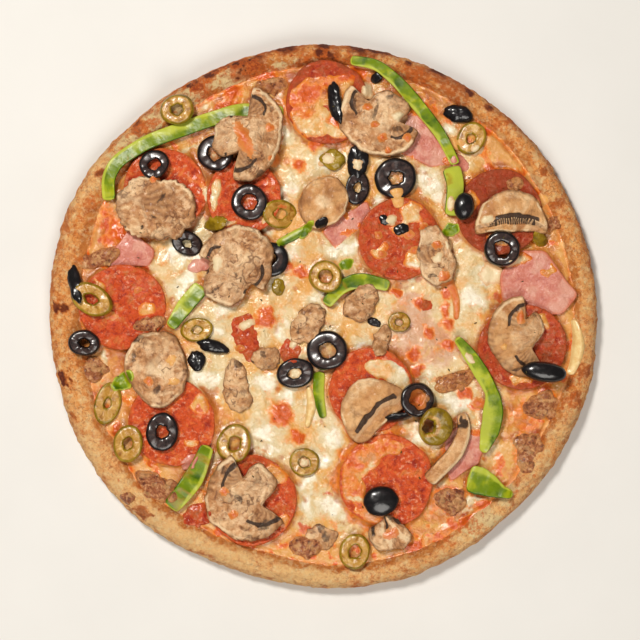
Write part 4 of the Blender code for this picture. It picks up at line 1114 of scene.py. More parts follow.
def make_pepperoni(number):
    name = f"pepperoni_{number:02d}"
    middle, dark = PEPPERONI[number]
    columns = 120
    radius = footprint(name, middle, columns, 6) + 0.25
    angle = circle(columns)
    uneven = rough(20 * np.cos(angle) + 7 * number, 20 * np.sin(angle), 6.0, 110, 2)
    radius = radius * (1.0 + 0.012 * uneven)
    under, top = faces_of(name, 1.6)

    def top_of(x, y):
        away = np.hypot(x - middle[0], y - middle[1]) / radius
        relief = 0.28 * rough(x, y, 7.0, 120 + number, 3) + 0.10 * rough(x, y, 2.0, 130 + number, 2)
        return top(x, y) + 0.1 + relief + 0.35 * step(away, 0.75, 0.97)

    def under_of(x, y):
        return np.minimum(under(x, y), top_of(x, y) - 1.2)

    points, out, side = pillow(middle, radius, 0.8, top_of, under_of)
    edge = 0.9 * step(out, 0.80, 1.0)
    return lay(name + "_slice", points, PEPPERONI_FINISH, "pepperoni", name, edge=edge, dark=dark)


for number in PEPPERONI:
    make_pepperoni(number)
print("pepperoni slices:", len(PEPPERONI))

# %% [markdown]
# Ham.
# Torn pieces of cooked ham, thin and limp. The finish is pink with pale marbling that runs along the grain.

# %% Ham
HAM_MIDDLES = {1: (-100, 34), 2: (57, 91), 3: (14, 49), 4: (112, 15), 5: (75, -71)}


def make_ham_finish():
    finish = Finish("ham", roughness=0.28, specular=0.5, coat=0.25)
    base = finish.mottle(6.0, [(180, 92, 76), (200, 118, 98), (212, 142, 120)], 0.30, 0.70, 6.0, 0.6, 1.2)
    base = finish.stain(base, finish.noise(11.0, 3.0), 0.48, 0.62, 0.45, (222, 172, 148))
    base = finish.stain(base, finish.shaken(finish.painted("edge"), 3.0, 0.8), 0.3, 1.0, 0.6,
                        (206, 104, 60))
    return finish.done(base, ((5.0, 5.0, 0.6, 1.2), 0.9), ((1.2, 3.0), 0.25))


HAM_FINISH = make_ham_finish()


def make_ham(number):
    name = f"ham_{number:02d}"
    middle = HAM_MIDDLES[number]
    radius = footprint(name, middle, 120, 4) + 0.2
    under, top = faces_of(name, 1.4)

    def top_of(x, y):
        return top(x, y) + 0.1 + 0.30 * rough(x, y, 8.0, 140 + number, 3)

    def under_of(x, y):
        return np.minimum(under(x, y), top_of(x, y) - 1.0)

    points, out, side = pillow(middle, radius, 0.7, top_of, under_of)
    return lay(name + "_torn", points, HAM_FINISH, "ham", name, edge=step(out, 0.82, 1.0))


for number in HAM_MIDDLES:
    make_ham(number)
print("ham pieces:", len(HAM_MIDDLES))

# %% [markdown]
# Green pepper strips.
# Each strip is a ring cut open, glossy dark skin outside and pale flesh inside: a section along a route.
# The ends are drawn to a point in the grid, so the strip is closed.

# %% Peppers
PEPPERS = {
   
    1: ([(-113, 61), (-114, 73), (-109, 82), (-93, 92), (-63, 103), (-44, 109), (-21, 107)], (7, 8, 8), 1),
    2: ([(14, 135), (28, 133), (40, 123), (52, 109), (62, 96), (70, 80)], (5, 7, 5), -1),
    3: ([(67, 79), (70, 69), (67, 53)], (10, 9, 7), 1),
    4: ([(35, 16), (20, 20), (9, 16), (1, 6)], (6, 8, 6), 1),
    5: ([(-64, 16), (-73, 6), (-81, -6)], (9, 9, 6), -1),
    6: ([(-61, -68), (-67, -83), (-73, -92), (-81, -101)], (7, 11, 9), 1),
    7: ([(70, -11), (77, -20), (84, -31), (90, -42), (89, -57), (84, -72)], (4, 7, 8, 7, 11, 10, 4), -1),
    8: ([(76, -85), (84, -87), (92, -92), (100, -94)], (14, 15, 12, 7, 4), 1),
}

# Strips that lie with their pale flesh up
FLESHY = {1: 0.30, 3: 0.9, 7: 0.40}
SCORCHED = {6: 0.75, 8: 0.3}


def make_pepper_finish():
    finish = Finish("green_pepper", roughness=0.30, specular=0.3, coat=0.0)
    base = finish.mottle(9.0, [(60, 90, 2), (106, 128, 4), (160, 166, 18)], 0.30, 0.70, 4.0, 0.5)
    edge = finish.shaken(finish.painted("flesh"), 3.0, 0.6)
    base = finish.stain(base, edge, 0.30, 0.90, 0.70, (196, 200, 72))
    base = finish.stain(base, finish.painted("skin"), 0.3, 0.9, 0.85, (44, 84, 8))
    base = finish.stain(base, finish.shaken(finish.painted("brown"), 3.0, 0.8), 0.4, 1.0, 0.7,
                        (160, 118, 24))
    return finish.done(base, ((8.0, 3.0, 0.5, 0.4), 0.35), ((1.4, 4.0), 0.12))


PEPPER_FINISH = make_pepper_finish()


def smooth_route(route, widths, step_size):
    """Even points along a smoothed route, with the direction and half width at each."""
    route = np.array(route, dtype=float)
    knots = np.concatenate([[0.0], np.cumsum(np.hypot(*np.diff(route, axis=0).T))])
    count = int(knots[-1] / step_size) + 2
    at = np.linspace(0.0, knots[-1], count)
    x, y = np.interp(at, knots, route[:, 0]), np.interp(at, knots, route[:, 1])
    for _ in range(int(30 / step_size ** 2)):
        x[1:-1] = (x[:-2] + 2.0 * x[1:-1] + x[2:]) / 4.0
        y[1:-1] = (y[:-2] + 2.0 * y[1:-1] + y[2:]) / 4.0
    ahead = np.column_stack([np.gradient(x), np.gradient(y)])
    ahead /= np.hypot(*ahead.T)[:, None]
    return x, y, ahead, np.interp(at / knots[-1], np.linspace(0.0, 1.0, len(widths)), widths) / 2.0, at


SECTION_POINTS = 22
STRIP_TAIL = 2.5


def swept(route, widths, under_of, top_of, step_size=0.9, square=0.55):
    """A strip along a route: a section with blunt corners, drawn in at both ends.

    Gives the points and, for each, the place across from -1 to 1, the distance from the nearer end, the side
    and the distance along.
    """
    x, y, ahead, half, at = smooth_route(route, widths, step_size)
    turn = circle(SECTION_POINTS)
    across = np.sign(np.cos(turn)) * np.abs(np.cos(turn)) ** square
    side = np.sign(np.sin(turn)) * np.abs(np.sin(turn)) ** (0.8 * square)
    from_end = np.minimum(at, at[-1] - at)
    drawn_in = 1.0 - np.clip(from_end / STRIP_TAIL, 0.0, 1.0)
    narrow = np.sqrt(np.clip(1.0 - drawn_in ** 2, 0.0, 1.0)) * 0.75 + 0.25
    narrow[[0, -1]] = 0.0
    reach = (half * narrow)[:, None] * across
    px = x[:, None] - ahead[:, 1:2] * reach
    py = y[:, None] + ahead[:, 0:1] * reach
    top, under = top_of(px, py, across), under_of(px, py)
    thin = np.where(narrow > 0.0, 1.0, 0.3)[:, None]
    z = (top + under) / 2.0 + side * (top - under) / 2.0 * thin
    grids = (value + 0.0 * reach for value in (across, from_end[:, None], side, at[:, None]))
    return (np.stack([px, py, z], axis=-1), *grids)


def make_pepper(number):
    name = f"pepper_{number:02d}"
    route, widths, inner = PEPPERS[number]
    under, top = faces_of(name, 2.2)

    def top_of(x, y, across):
        ridge = 0.5 * step(-inner * across, 0.5, 0.9) - 0.4 * step(inner * across, 0.2, 0.9)
        return top(x, y) + ridge + 0.45 * rough(x, y, 6.0, 150 + number, 3)

    def under_of(x, y):
        return np.minimum(under(x, y), top(x, y) - 2.2)

    step_size = 0.8
    points, across, from_end, side, at = swept(route, widths, under_of, top_of, step_size, 0.36)
    wander = 0.25 * rough(at, 0.0 * at + 9.0 * number, 9.0, 160, 2)
    flesh = step(inner * across + wander, 0.30, 0.85) + step(1.6 - from_end, 0.0, 1.2)
    flesh = flesh + step(-side, 0.3, 0.9) + FLESHY.get(number, 0.0)
    scorch = rough(points[..., 0], points[..., 1], 6.0, 165, 3) + SCORCHED.get(number, 0.0)
    skin = step(-inner * across, 0.78, 0.96) * step(from_end, 0.3, 1.2)
    return lay(name + "_strip", points, PEPPER_FINISH, "green_pepper", name,
               flesh=flesh, brown=0.8 * step(scorch, 0.55, 1.0), skin=skin)


for number in PEPPERS:
    make_pepper(number)
print("pepper strips:", len(PEPPERS))

# %% [markdown]
# Olives.
# A slice of an olive is a ring: glossy skin outside, a duller cut face, and a hole where the stone was.
# The section is a blunt loop carried round an oval. Its plane leans the way that the solid leans.

# %% Olives
BLACK_RINGS = {
    1: ((-57, 86), 18, 18, 7, 0), 2: ((-28, 30), 18, 17, 8, 0), 3: ((-89, 80), 15, 14, 6, 30),
    4: ((-39, 60), 18, 18, 8, 0), 5: ((38, 73), 21, 20, 7, 0), 6: ((94, 35.5), 18, 17.5, 8, 0),
    7: ((2, -18), 20.5, 20, 8, 0), 8: ((-15, -30), 19, 15, 7, 10), 9: ((-85, -61), 19, 16, 7, 80),
    10: ((49.5, -44), 17, 17, 10, 0), 14: ((-126, -14), 16, 13, 5, 170),
}
BLACK_ENDS = {11: ((30, -97), 19, 16, 5), 12: ((116, -29), 24, 11, -8), 13: ((74, 58), 15, 11, 80)}
GREEN_RINGS = {
    1: ((-77, 109), 17, 15, 6, 20), 2: ((-122, 9), 22, 15, 7, 150), 3: ((-47, -67), 19, 17, 7, 70),
    4: ((1, 21), 16.5, 16, 7, 0), 5: ((59, -58), 19.5, 17, 7, 70), 6: ((16.5, -124), 18, 15, 7, 80),
    7: ((-103, -67), 19, 15, 6, 80),
}

HOLE_SHIFTS = {"green_olive_05": (-4.0, 0.0), "black_olive_10": (0.8, 0.6), "black_olive_02": (-1.5, 1.0)}


def make_black_olive_finish():
    finish = Finish("black_olive", roughness=0.24, specular=0.5, coat=0.15)
    base = finish.mottle(3.0, [(8, 7, 9), (18, 15, 17), (34, 26, 28)])
    face = finish.mottle(2.2, [(30, 22, 22), (56, 42, 40), (84, 64, 58)], 0.34, 0.72)
    base = finish.mix(finish.band(finish.painted("cut"), 0.3, 0.9), base, face)
    return finish.done(base, ((7.0, 0.0), 0.22), ((1.2, 4.0), 0.03))


def make_green_olive_finish():
    finish = Finish("green_olive", roughness=0.22, specular=0.5, coat=0.3)
    base = finish.mottle(6.0, [(104, 80, 6), (142, 114, 14), (172, 140, 38)], 0.30, 0.70, 4.0, 0.5)
    face = finish.mottle(4.0, [(142, 90, 22), (184, 134, 54), (212, 168, 92)], 0.32, 0.68, 4.0)
    base = finish.mix(finish.band(finish.shaken(finish.painted("cut"), 3.0, 0.5), 0.3, 0.9), base, face)
    return finish.done(base, ((4.0, 4.0), 1.0), ((1.2, 4.0), 0.25))


BLACK_FINISH = make_black_olive_finish()
GREEN_FINISH = make_green_olive_finish()


def ring_grid(middle, long, wide, hole, degrees, top_of, under_of, seed,
              dish=0.3, squash=0.12, shift=(0.0, 0.0)):
    """A ring as rows round the oval and columns round its section, with a number for its cut face.

    shift moves the hole, for a ring that is seen from its side.
    """
    rows, columns = ((72, 24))
    angle = circle(rows)[:, None]
    turn = circle(columns)[None, :]
    ring_x, ring_y = 9.0 * np.cos(angle) + 11.0 * seed, 9.0 * np.sin(angle)
    outer = 0.5 * long * (1.0 + 0.035 * rough(ring_x, ring_y, 7.0, 170, 2))
    inner = 0.5 * hole * (1.0 + 0.16 * rough(ring_x, ring_y, 5.0, 175, 2)) + 0.0 * outer
    across = np.sign(np.cos(turn)) * np.abs(np.cos(turn)) ** 0.62
    side = np.sign(np.sin(turn)) * np.abs(np.sin(turn)) ** 0.62
    bulge = 0.04 * long * (1.0 - side ** 2) * (across > 0)
    reach = (outer + inner) / 2.0 + across * (outer - inner) / 2.0 + bulge
    x, y = turned(middle, reach * np.cos(angle), reach * np.sin(angle) * (wide / long), degrees)
    inward = (1.0 - across) / 2.0
    x, y = x + shift[0] * inward, y + shift[1] * inward
    top, under = top_of(x, y), under_of(x, y)
    dent = 1.0 + 0.25 * rough(x, y, 9.0, 180 + seed, 1)
    hollow = dish * step(side, 0.5, 1.0) * (1.0 - across ** 2) * dent
    shrink = squash * rough(ring_x, ring_y, 9.0, 185, 2) * (top - under)
    z = (top + under) / 2.0 + side * (top - under) / 2.0 - hollow + shrink * step(side, 0.0, 1.0)
    cut = step(side, 0.80, 0.97) * step(0.92 - 0.24 * math.hypot(*shift) - across, 0.0, 0.25)
    return np.stack([x, y, z], axis=-1), cut


# How far a dome bends over before it turns under
DOME_BEND = 0.62 * math.pi


def dome_grid(middle, long, wide, degrees, top_of, under_of, seed, wrinkle=0.12, flat=0.35, ragged=0.05):
    """The rounded end of an olive: rows from its crown over the side to the middle below."""
    rows, columns = ((22, 56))
    angle = circle(columns)[None, :]
    turn = np.concatenate([np.linspace(0.0, DOME_BEND, rows), [0.8 * math.pi, math.pi]])[:, None]
    below, left = turn > DOME_BEND, math.pi - turn
    reach = 0.5 * np.sin(np.minimum(turn, DOME_BEND)) ** (1.0 - 0.5 * flat)
    reach = np.where(below, 0.45 * left / (0.38 * math.pi), reach)
    lift = np.where(below, 0.28 * left / (0.38 * math.pi), np.cos(turn) * 0.5 + 0.5)
    uneven = rough(9.0 * np.cos(angle) + 11.0 * seed, 9.0 * np.sin(angle), 7.0, 190, 3)
    reach = reach * long * (1.0 + ragged * uneven)
    x, y = turned(middle, reach * np.cos(angle), reach * np.sin(angle) * (wide / long), degrees)
    top, under = top_of(x, y), under_of(x, y)
    z = under + (top - under) * lift + wrinkle * rough(x, y, 3.5, 195 + seed, 3) * step(lift, 0.2, 0.7)
    return np.stack([x, y, z], axis=-1)


def plane_of(name):
    """The plane that best fits the top of a solid, as a function of x and y."""
    solid = solids[name]
    top = solid.top[solid.covers]
    x, y = FIELD_X[solid.window][solid.covers], FIELD_Y[solid.window][solid.covers]
    high = top >= np.median(top) - 2.5
    return plane_through(x[high], y[high], top[high])


def olive_faces(name, tall):
    """The leaning top of an olive slice, and an underside that reaches down to what it lies on."""
    plane = plane_of(name)
    ground = blur(GROUND.height, 1.2)

    def under_of(x, y):
        top = plane(x, y)
        return np.clip(read_field(ground, x, y) - 0.4, top - 1.7 * tall, top - 0.55 * tall)

    return plane, under_of


def make_ring_olive(colour, number):
    name = f"{colour}_olive_{number:02d}"
    rings, finish = (BLACK_RINGS, BLACK_FINISH) if colour == "black" else (GREEN_RINGS, GREEN_FINISH)
    middle, long, wide, hole, degrees = rings[number]
    top_of, under_of = olive_faces(name, 4.8)
    shift = HOLE_SHIFTS.get(name, (0.0, 0.0))
    points, cut = ring_grid(middle, long, wide, hole, degrees, top_of, under_of, number, shift=shift)
    lay(name + "_slice", points, finish, colour + "_olive", name, ring=True, cut=cut)


def make_end_olive(number):
    name = f"black_olive_{number:02d}"
    middle, long, wide, degrees = BLACK_ENDS[number]
    solid = solids[name]
    crown = float(np.nanmax(solid.top)) + 0.2
    ground = blur(GROUND.height, 1.2)

    def under_of(x, y):
        return np.clip(read_field(ground, x, y) - 0.5, crown - 9.0, crown - 4.0)

    points = dome_grid(middle, long, wide, degrees, lambda x, y: crown + 0.0 * x, under_of, number)
    lay(name + "_slice", points, BLACK_FINISH, "black_olive", name, cut=0.0)


print("olive makers ready")

# %% [markdown]
# Mushroom slices.
# A slice through a button mushroom shows the pale flesh of the cap, two dark crescents of gills and the stem.
# Each slice has its own axis: u runs across the cap and v towards its crown. All its parts follow these.

# %% Mushrooms
# Middle, width across, height, direction of the crown, stem width, stem length, lean and kind
MUSHROOMS = {
    1: ((-39, 96), 50, 36, -12, 20, 17, 0.25, "cap"), 2: ((28, 103), 45, 35, 236, 19, 13, -0.2, "cap"),
    3: ((-88, 57), 42, 31, 0, 0, 0, 0.0, "odd"), 4: ((-46, 27), 40, 44, 62, 22, 21, 0.0, "cap"),
    5: ((99, 57), 38, 20, 90, 0, 0, 0.0, "moon"), 6: ((0, 60), 29, 25, 60, 0, 0, 0.0, "plain"),
    7: ((59, 32), 31, 20, 105, 0, 0, 0.0, "odd"), 8: ((102, -12), 43, 31, 195, 13, 10, 0.5, "cap"),
    9: ((22.5, -45.5), 38, 24, 133, 0, 0, 0.0, "moon"), 10: ((-42, -97), 48, 41, 218, 17, 15, 0.2, "cap"),
    11: ((-88, -27), 41, 33, 100, 0, 0, 0.0, "plain"), 13: ((38, -114), 26, 20, 110, 0, 0, 0.0, "fan"),
}
# Slices with a drier, more ragged face than the rest, and how many millimetres their edges wander
RAGGED = {1: 0.8, 2: 0.7, 3: 2.6, 4: 1.2, 7: 1.4, 10: 1.1, 11: 0.8, 13: 1.4}
SMOOTH = {9: 60}
# How much darker than the rest a few slices are
DARKER = {4: 0.35, 8: 0.40, 11: 0.10}
# Dark slots in the slices: x, y, half length, half width and turn
SLOTS = {
    1: [(-38, 81, 2, 6, 0), (-33, 75, 3, 2, 0), (-42, 111, 4, 2.5, 30)],
    2: [(27, 108, 1.6, 7, -10), (35, 116, 4, 2, 20), (38, 99, 5, 2, -20), (17, 112, 1.5, 6, 10)],
    3: [(-85, 62, 5, 1.2, 50), (-89, 52, 4, 1.0, -20), (-71, 55, 1.0, 5, -30)],
    4: [(-57, 36, 3.5, 1.4, 20), (-56, 15, 8, 1.1, 35), (-46, 22, 1.2, 2, 0)],
    7: [(50, 36, 1.5, 4, 20), (57, 22, 4, 1.2, 0)], 8: [(111, 1, 1.2, 4, 20), (102, -28, 5, 1.4, 10)],
    10: [(-51, -81, 3, 5, 0), (-24, -99, 3, 5, 0), (-31, -110, 7, 3, 30), (-45, -96, 2, 6, 40)],
    11: [(-88, -39, 3, 5, -30), (-97, -12, 5, 2.4, 20), (-100, -22, 2, 5, 0)],
    13: [(36, -106, 7, 2.4, -20)],
}
MUSHROOM_STRIP = ([(73, -51), (75, -60), (70, -72), (55, -87)], (6, 9, 8))


def make_mushroom_finish():
    finish = Finish("mushroom", roughness=0.46, specular=0.4, coat=0.06)
    gill, rim, pale, line, dry = (finish.painted(label) for label in ("gill", "rim", "pale", "line", "dry"))
    shade, streak, crease = (finish.painted(label) for label in ("shade", "streak", "crease"))
    plain = finish.mottle(10.0, [(184, 122, 68), (212, 154, 94), (232, 184, 126)], 0.30, 0.70, 3.0, 0.5)
    grained = finish.mottle(4.0, [(104, 56, 28), (186, 128, 82), (240, 198, 152)], 0.30, 0.66)
    base = finish.mix(finish.maths("ADD", 0.15, finish.product(dry, 0.6)), plain, grained)
    pits = finish.product(dry, finish.band(finish.noise(5.0, 6.0, 0.7, 1.0), 0.55, 0.66))
    flecks = finish.product(dry, finish.band(finish.noise(7.0, 6.0, 0.7), 0.50, 0.62))
    base = finish.cover(finish.cover(base, flecks, 0.6, rgb(246, 208, 164)), pits, 0.8, rgb(116, 66, 34))
    fibre = finish.shaken(streak, 2.0, 0.5)
    base = finish.stain(base, fibre, 0.50, 0.05, 0.55, (138, 88, 48))
    base = finish.stain(base, fibre, 0.55, 1.0, 0.60, (240, 204, 156))
    # Pale flesh and stem, and the painted highlight along the edges of the slices
    base = finish.stain(base, finish.shaken(pale, 2.4, 0.9), 0.2, 1.0, 0.75, (248, 218, 174))
    base = finish.cover(base, finish.band(finish.shaken(shade, 3.0, 0.8), 0.2, 0.9), 0.70,
                        finish.mix(line, rgb(126, 80, 44), rgb(190, 138, 90)))
    base = finish.stain(base, crease, 0.15, 0.9, 0.7, (96, 54, 26))
    # Dark rim: on the slices, painted shadow down the side wall under the edge, and the dark seams
    base = finish.stain(base, finish.shaken(rim, 3.0, 0.7), 0.3, 1.0, 0.85, (104, 58, 28))
    base = finish.stain(base, finish.shaken(gill, 2.5, 0.6), 0.30, 0.80, 0.95, (44, 24, 12))
    finish.roughness(finish.band(finish.noise(3.0, 4.0), -0.5, 1.3))
    return finish.done(base, ((4.0, 6.0, 0.62, 0.8), 1.6), ((0.9, 4.0), 0.4))


MUSHROOM_FINISH = make_mushroom_finish()


def mushroom_marks(number, x, y):
    """Gills, flesh and stem of a slice at each point: numbers from 0 to 1, and how deep the gills lie."""
    middle, wide, high, degrees, stem_wide, stem_long, lean, kind = MUSHROOMS[number]
    turn = math.radians(degrees - 90.0)
    dx, dy = x - middle[0], y - middle[1]
    cap_high = high - stem_long
    bend_u = 1.2 * rough(x, y, 8.0, 200 + number, 3)
    bend_v = 1.2 * rough(x, y, 8.0, 220 + number, 3)
    u = dx * math.cos(turn) + dy * math.sin(turn) + bend_u
    v = dy * math.cos(turn) - dx * math.sin(turn) + (cap_high - stem_long) / 2.0 + bend_v
    half = wide / 2.0
    if kind == "cap":
        stem_at = np.where(v < 0.0, lean * -v, 0.0)
        beside = np.abs(u - stem_at) - stem_wide * (0.46 + 0.10 * step(v, -4.0, cap_high * 0.5))
        crescent = 1.0 - np.hypot(u / (0.86 * half), (v + 0.05 * cap_high) / (0.56 * cap_high))
        gill = step(crescent, 0.0, 0.06) * step(0.20 - crescent, 0.0, 0.10) * step(beside, 0.0, 1.0)
        shade = step(crescent, 0.05, 0.25) * step(beside, 0.0, 1.4)
        seam = 0.7 * step(1.0 - np.abs(beside), 0.0, 0.9) * step(crescent, -0.05, 0.2)
        pale = 0.5 * step(-beside, 0.0, 2.0) * step(0.6 * cap_high - v, 0.0, 5.0)
    elif kind == "moon":
        arc = v - 0.30 * high + 0.22 * high * (u / half) ** 2
        thick, sideways = 1.9 if number == 9 else 1.3, np.abs(u) / half
        gill = step(thick - np.abs(arc), 0.0, 0.8) * step(0.80 - sideways, 0.0, 0.1)
        comb = step(np.sin(4.6 * u + 2.0 * rough(x, y, 6.0, 248, 2)), -0.9, 0.5) * step(-arc, -0.5, 0.3)
        comb = (number == 5) * comb * step(arc + 4.6, 0.0, 1.6) * step(0.72 - sideways, 0.0, 0.1)
        gill = np.maximum(gill, comb)
        shade = step(-arc, 0.5, 2.0) * step(arc + 0.20 * high, 0.0, 1.0)
        seam = 0.0 * u
        stripe = step(1.6 - np.abs(arc + 0.10 * high), 0.0, 1.0)
        pale = 0.5 * step(arc - 0.35 * high, 0.0, 4.0) + 0.9 * stripe
    elif kind == "plain":
        share = np.hypot(u / half, 2.0 * v / high - 1.0)
        gill, shade = 0.0 * u, 0.5 * step(rough(x, y, 10.0, 244 + number, 3), 0.2, 0.8)
        seam = 0.6 * step(1.0 - np.abs(share - 0.78) * half / 2.0, 0.0, 0.9)
        seam = seam * step(rough(x, y, 12.0, 245, 2), -0.1, 0.4)
        pale = 0.8 * step(0.55 - share, 0.0, 0.4)
    elif kind == "fan":
        fold = np.sin(11.0 * np.arctan2(u + 0.30 * half, 1.3 * high - v) + 2.0 * rough(x, y, 9.0, 243, 2))
        gill = 0.9 * step(fold, 0.45, 0.85) * step(v, 0.50 * high, 0.70 * high)
        shade, seam = 0.6 * step(fold, 0.2, 0.9), 0.0 * u
        pale = 0.8 * step(-fold, 0.1, 0.8)
    else:
        gill = 0.8 * step(rough(x, y, 8.0, 246 + number, 3), 0.75, 0.95)
        inner = np.hypot((u + 0.12 * half) / (0.55 * half), (v - 0.54 * high) / (0.27 * high))
        shade = 0.8 * step(1.0 - inner, 0.0, 0.3)
        seam = 0.6 * step(0.16 - np.abs(inner - 1.0), 0.0, 0.14)
        pale = 0.6 * step(rough(x, y, 14.0, 250 + number, 2), 0.0, 0.5)
    fan = np.arctan2(v + 0.4 * cap_high, u)
    away = np.hypot(u, v + 0.4 * cap_high)
    line = 0.5 + 0.5 * np.sin(46.0 * fan + 2.0 * rough(x, y, 6.0, 255, 2))
    streak = 0.5 + 0.5 * rough(22.0 * fan + 0.1 * u, 0.45 * away + 60.0 * number, 4.5, 257, 4)
    slot = step(ellipses(x, y, SLOTS.get(number, [(900, 900, 1, 1, 0)]), 1.2, 4.0, 258), 0.0, 0.5)
    return np.maximum(gill, 0.62 * slot), seam, pale, line + (number == 9) * (0.9 - line), shade, streak


def creases(x, y, size, seed):
    """1 along winding lines, where a noise passes through zero, and 0 away from them."""
    wander = rough(x, y, size, seed, 3)
    return step(0.16 - np.abs(wander), 0.0, 0.16) * step(rough(x, y, 2.0 * size, seed + 5, 2), -0.25, 0.35)


def make_mushroom(number):
    name = f"mushroom_{number:02d}"
    middle = MUSHROOMS[number][0]
    columns = 168
    radius = footprint(name, middle, columns, SMOOTH.get(number, 3)) + 0.2
    angle = circle(columns)
    wander = rough(radius * np.cos(angle), radius * np.sin(angle) + 40.0 * number, 6.0, 260, 4)
    radius = radius + RAGGED.get(number, 0.5) * wander
    under, top = faces_of(name, 1.8)
    ground = blur(GROUND.height, 1.5)

    def top_of(x, y):
        gill, seam, pale, line, shade, streak = mushroom_marks(number, x, y)
        relief = 0.95 * rough(x, y, 11.0, 270 + number, 3) + 0.26 * rough(x, y, 2.6, 280 + number, 2)
        sunk = (0.15 + 0.5 * (number in RAGGED)) * creases(x, y, 6.0, 285 + number) + 0.45 * seam
        sunk = sunk + 0.55 * shade + 0.25 * (1.0 - streak)
        return top(x, y) + 0.45 + relief - gill * 0.9 - sunk

    def under_of(x, y):
        low = read_field(ground, x, y) - 0.3
        return np.clip(low, top(x, y) - 7.5, top(x, y) - 3.0)

    points, out, side = pillow(middle, radius, 1.1, top_of, under_of, 42)
    gill, seam, pale, line, shade, streak = mushroom_marks(number, points[..., 0], points[..., 1])
    # Painted shadow down the side wall, under the edge, together with the dark seams
    rim = np.maximum(0.75 * step(out, 0.975, 1.0), 0.9 * seam)
    border = step(rough(points[..., 0], points[..., 1], 11.0, 262, 3), -0.5, 0.4)
    # A painted highlight: a pale band just inside the edge, broken where a noise is low
    pale = np.maximum(pale, border * step(out, 0.85, 0.93) * step(0.985 - out, 0.0, 0.02))
    shade = np.maximum(shade, 0.8 * (1.0 - border) * step(out, 0.72, 0.95)) + DARKER.get(number, 0.0)
    crease = creases(points[..., 0], points[..., 1], 6.0, 285 + number) * (0.25 + 0.65 * (number in RAGGED))
    return lay(name + "_slice", points, MUSHROOM_FINISH, "mushroom", name, gill=gill * (side > 0.5),
               rim=rim,
               pale=pale, line=line, crease=crease, dry=float(number in RAGGED), shade=shade, streak=streak)


def make_mushroom_strip():
    route, widths = MUSHROOM_STRIP
    under, top = faces_of("mushroom_12", 2.0)

    def top_of(x, y, across):
        curl = step(y, -62.0, -54.0)
        wrinkles = (0.3 + 0.9 * curl) * rough(x, y, 5.0 - 1.5 * curl, 290, 3)
        return top(x, y) + 0.5 * (1.0 - across ** 2) + wrinkles

    def under_of(x, y):
        return np.minimum(under(x, y), top(x, y) - 3.0)

    points, across, from_end, side, at = swept(route, widths, under_of, top_of)
    rim = step(np.abs(across), 0.7, 1.0) * 0.9
    crinkled = 0.9 * step(11.0 - at, 0.0, 5.0)
    crinkled = crinkled * step(rough(points[..., 0], points[..., 1], 3.4, 291, 3), 0.05, 0.4)
    return lay("mushroom_12_sliver", points, MUSHROOM_FINISH, "mushroom", "mushroom_12", gill=crinkled,
               rim=rim,
               pale=step(across, 0.3, 0.8) * (1.0 - crinkled), line=0.5 + 0.5 * np.sin(5.0 * at),
               crease=0.0,
               dry=0.4, shade=0.0, streak=0.5)


# The second layer, from the lowest piece to the highest
make_ring_olive("black", 1)
make_ring_olive("black", 2)
for number in (1, 2, 3):
    make_ring_olive("green", number)
for number in (1, 2, 3, 4, 5, 6, 7, 8, 9, 10, 11):
    make_mushroom(number)
make_mushroom_strip()
make_mushroom(13)
for number in (3, 4, 5, 6, 7, 8, 9, 10, 14):
    make_ring_olive("black", number)
for number in BLACK_ENDS:
    make_end_olive(number)
for number in (4, 5, 6, 7):
    make_ring_olive("green", number)
print("olive slices:", len(BLACK_RINGS) + len(BLACK_ENDS) + len(GREEN_RINGS))
print("mushrooms:", len(MUSHROOMS) + 1)

# %% [markdown]
# Small toppings.
# Crumbs of sausage, olive ends, little mushroom pieces and pepper bits are half sunk in the cheese.
# Each kind is one mesh of many closed lumps. A lump is an oval dome, made ragged by noise round its edge.

# %% Lumps


def lean_of(middle, reach):
    """The plane that best fits the ground round a place."""
    window = window_of(np.array(middle) - reach, np.array(middle) + reach, 0.0)
    x, y, z = FIELD_X[window].ravel(), FIELD_Y[window].ravel(), GROUND.height[window].ravel()
    near = np.hypot(x - middle[0], y - middle[1]) < reach
    return plane_through(x[near], y[near], z[near])


def oval_reach(long, wide, degrees, count, ragged, seed):
    """How far an oval reaches in each direction, with a ragged edge."""
    angle = circle(count)
    turned_angle = angle - math.radians(degrees)
    reach = 0.5 / np.hypot(np.cos(turned_angle) / long, np.sin(turned_angle) / wide)
    uneven = rough(9.0 * np.cos(angle) + 31.0 * seed, 9.0 * np.sin(angle), 7.0, 300, 3)
    return reach * (1.0 + ragged * uneven)


def lump(heap, middle, long, wide, degrees, tall, seed, ragged, crag, sunk, blunt, count, **paint):
    """Add a craggy dome to a heap: its height falls as (1 - share squared) to the power of blunt."""
    count = count
    reach = oval_reach(long, wide, degrees, count, ragged, seed)
    ground = blur(GROUND.height, 0.8)

    def top_of(x, y):
        angle = np.arctan2(y - middle[1], x - middle[0])
        around = np.linspace(0.0, 2.0 * math.pi, count + 1)
        edge = np.interp(angle % (2.0 * math.pi), around, np.append(reach, reach[0]))
        share = np.clip(np.hypot(x - middle[0], y - middle[1]) / edge, 0.0, 1.0)
        dome = tall * (1.0 - share ** 2) ** blunt - 0.12 * share
        rubble = crag * rough(x, y, 3.6, 310 + seed, 3) * (1.0 - 0.5 * share)
        return read_field(ground, x, y) + dome + rubble

    def under_of(x, y):
        return np.minimum(read_field(ground, x, y) - sunk, top_of(x, y) - 0.2)

    points, out, side = pillow(middle, reach, 0.25, top_of, under_of, 14, 3, 5)
    heap.add(points, **{label: value(points[..., 0], points[..., 1], out) if callable(value) else value
                        for label, value in paint.items()})
    return points


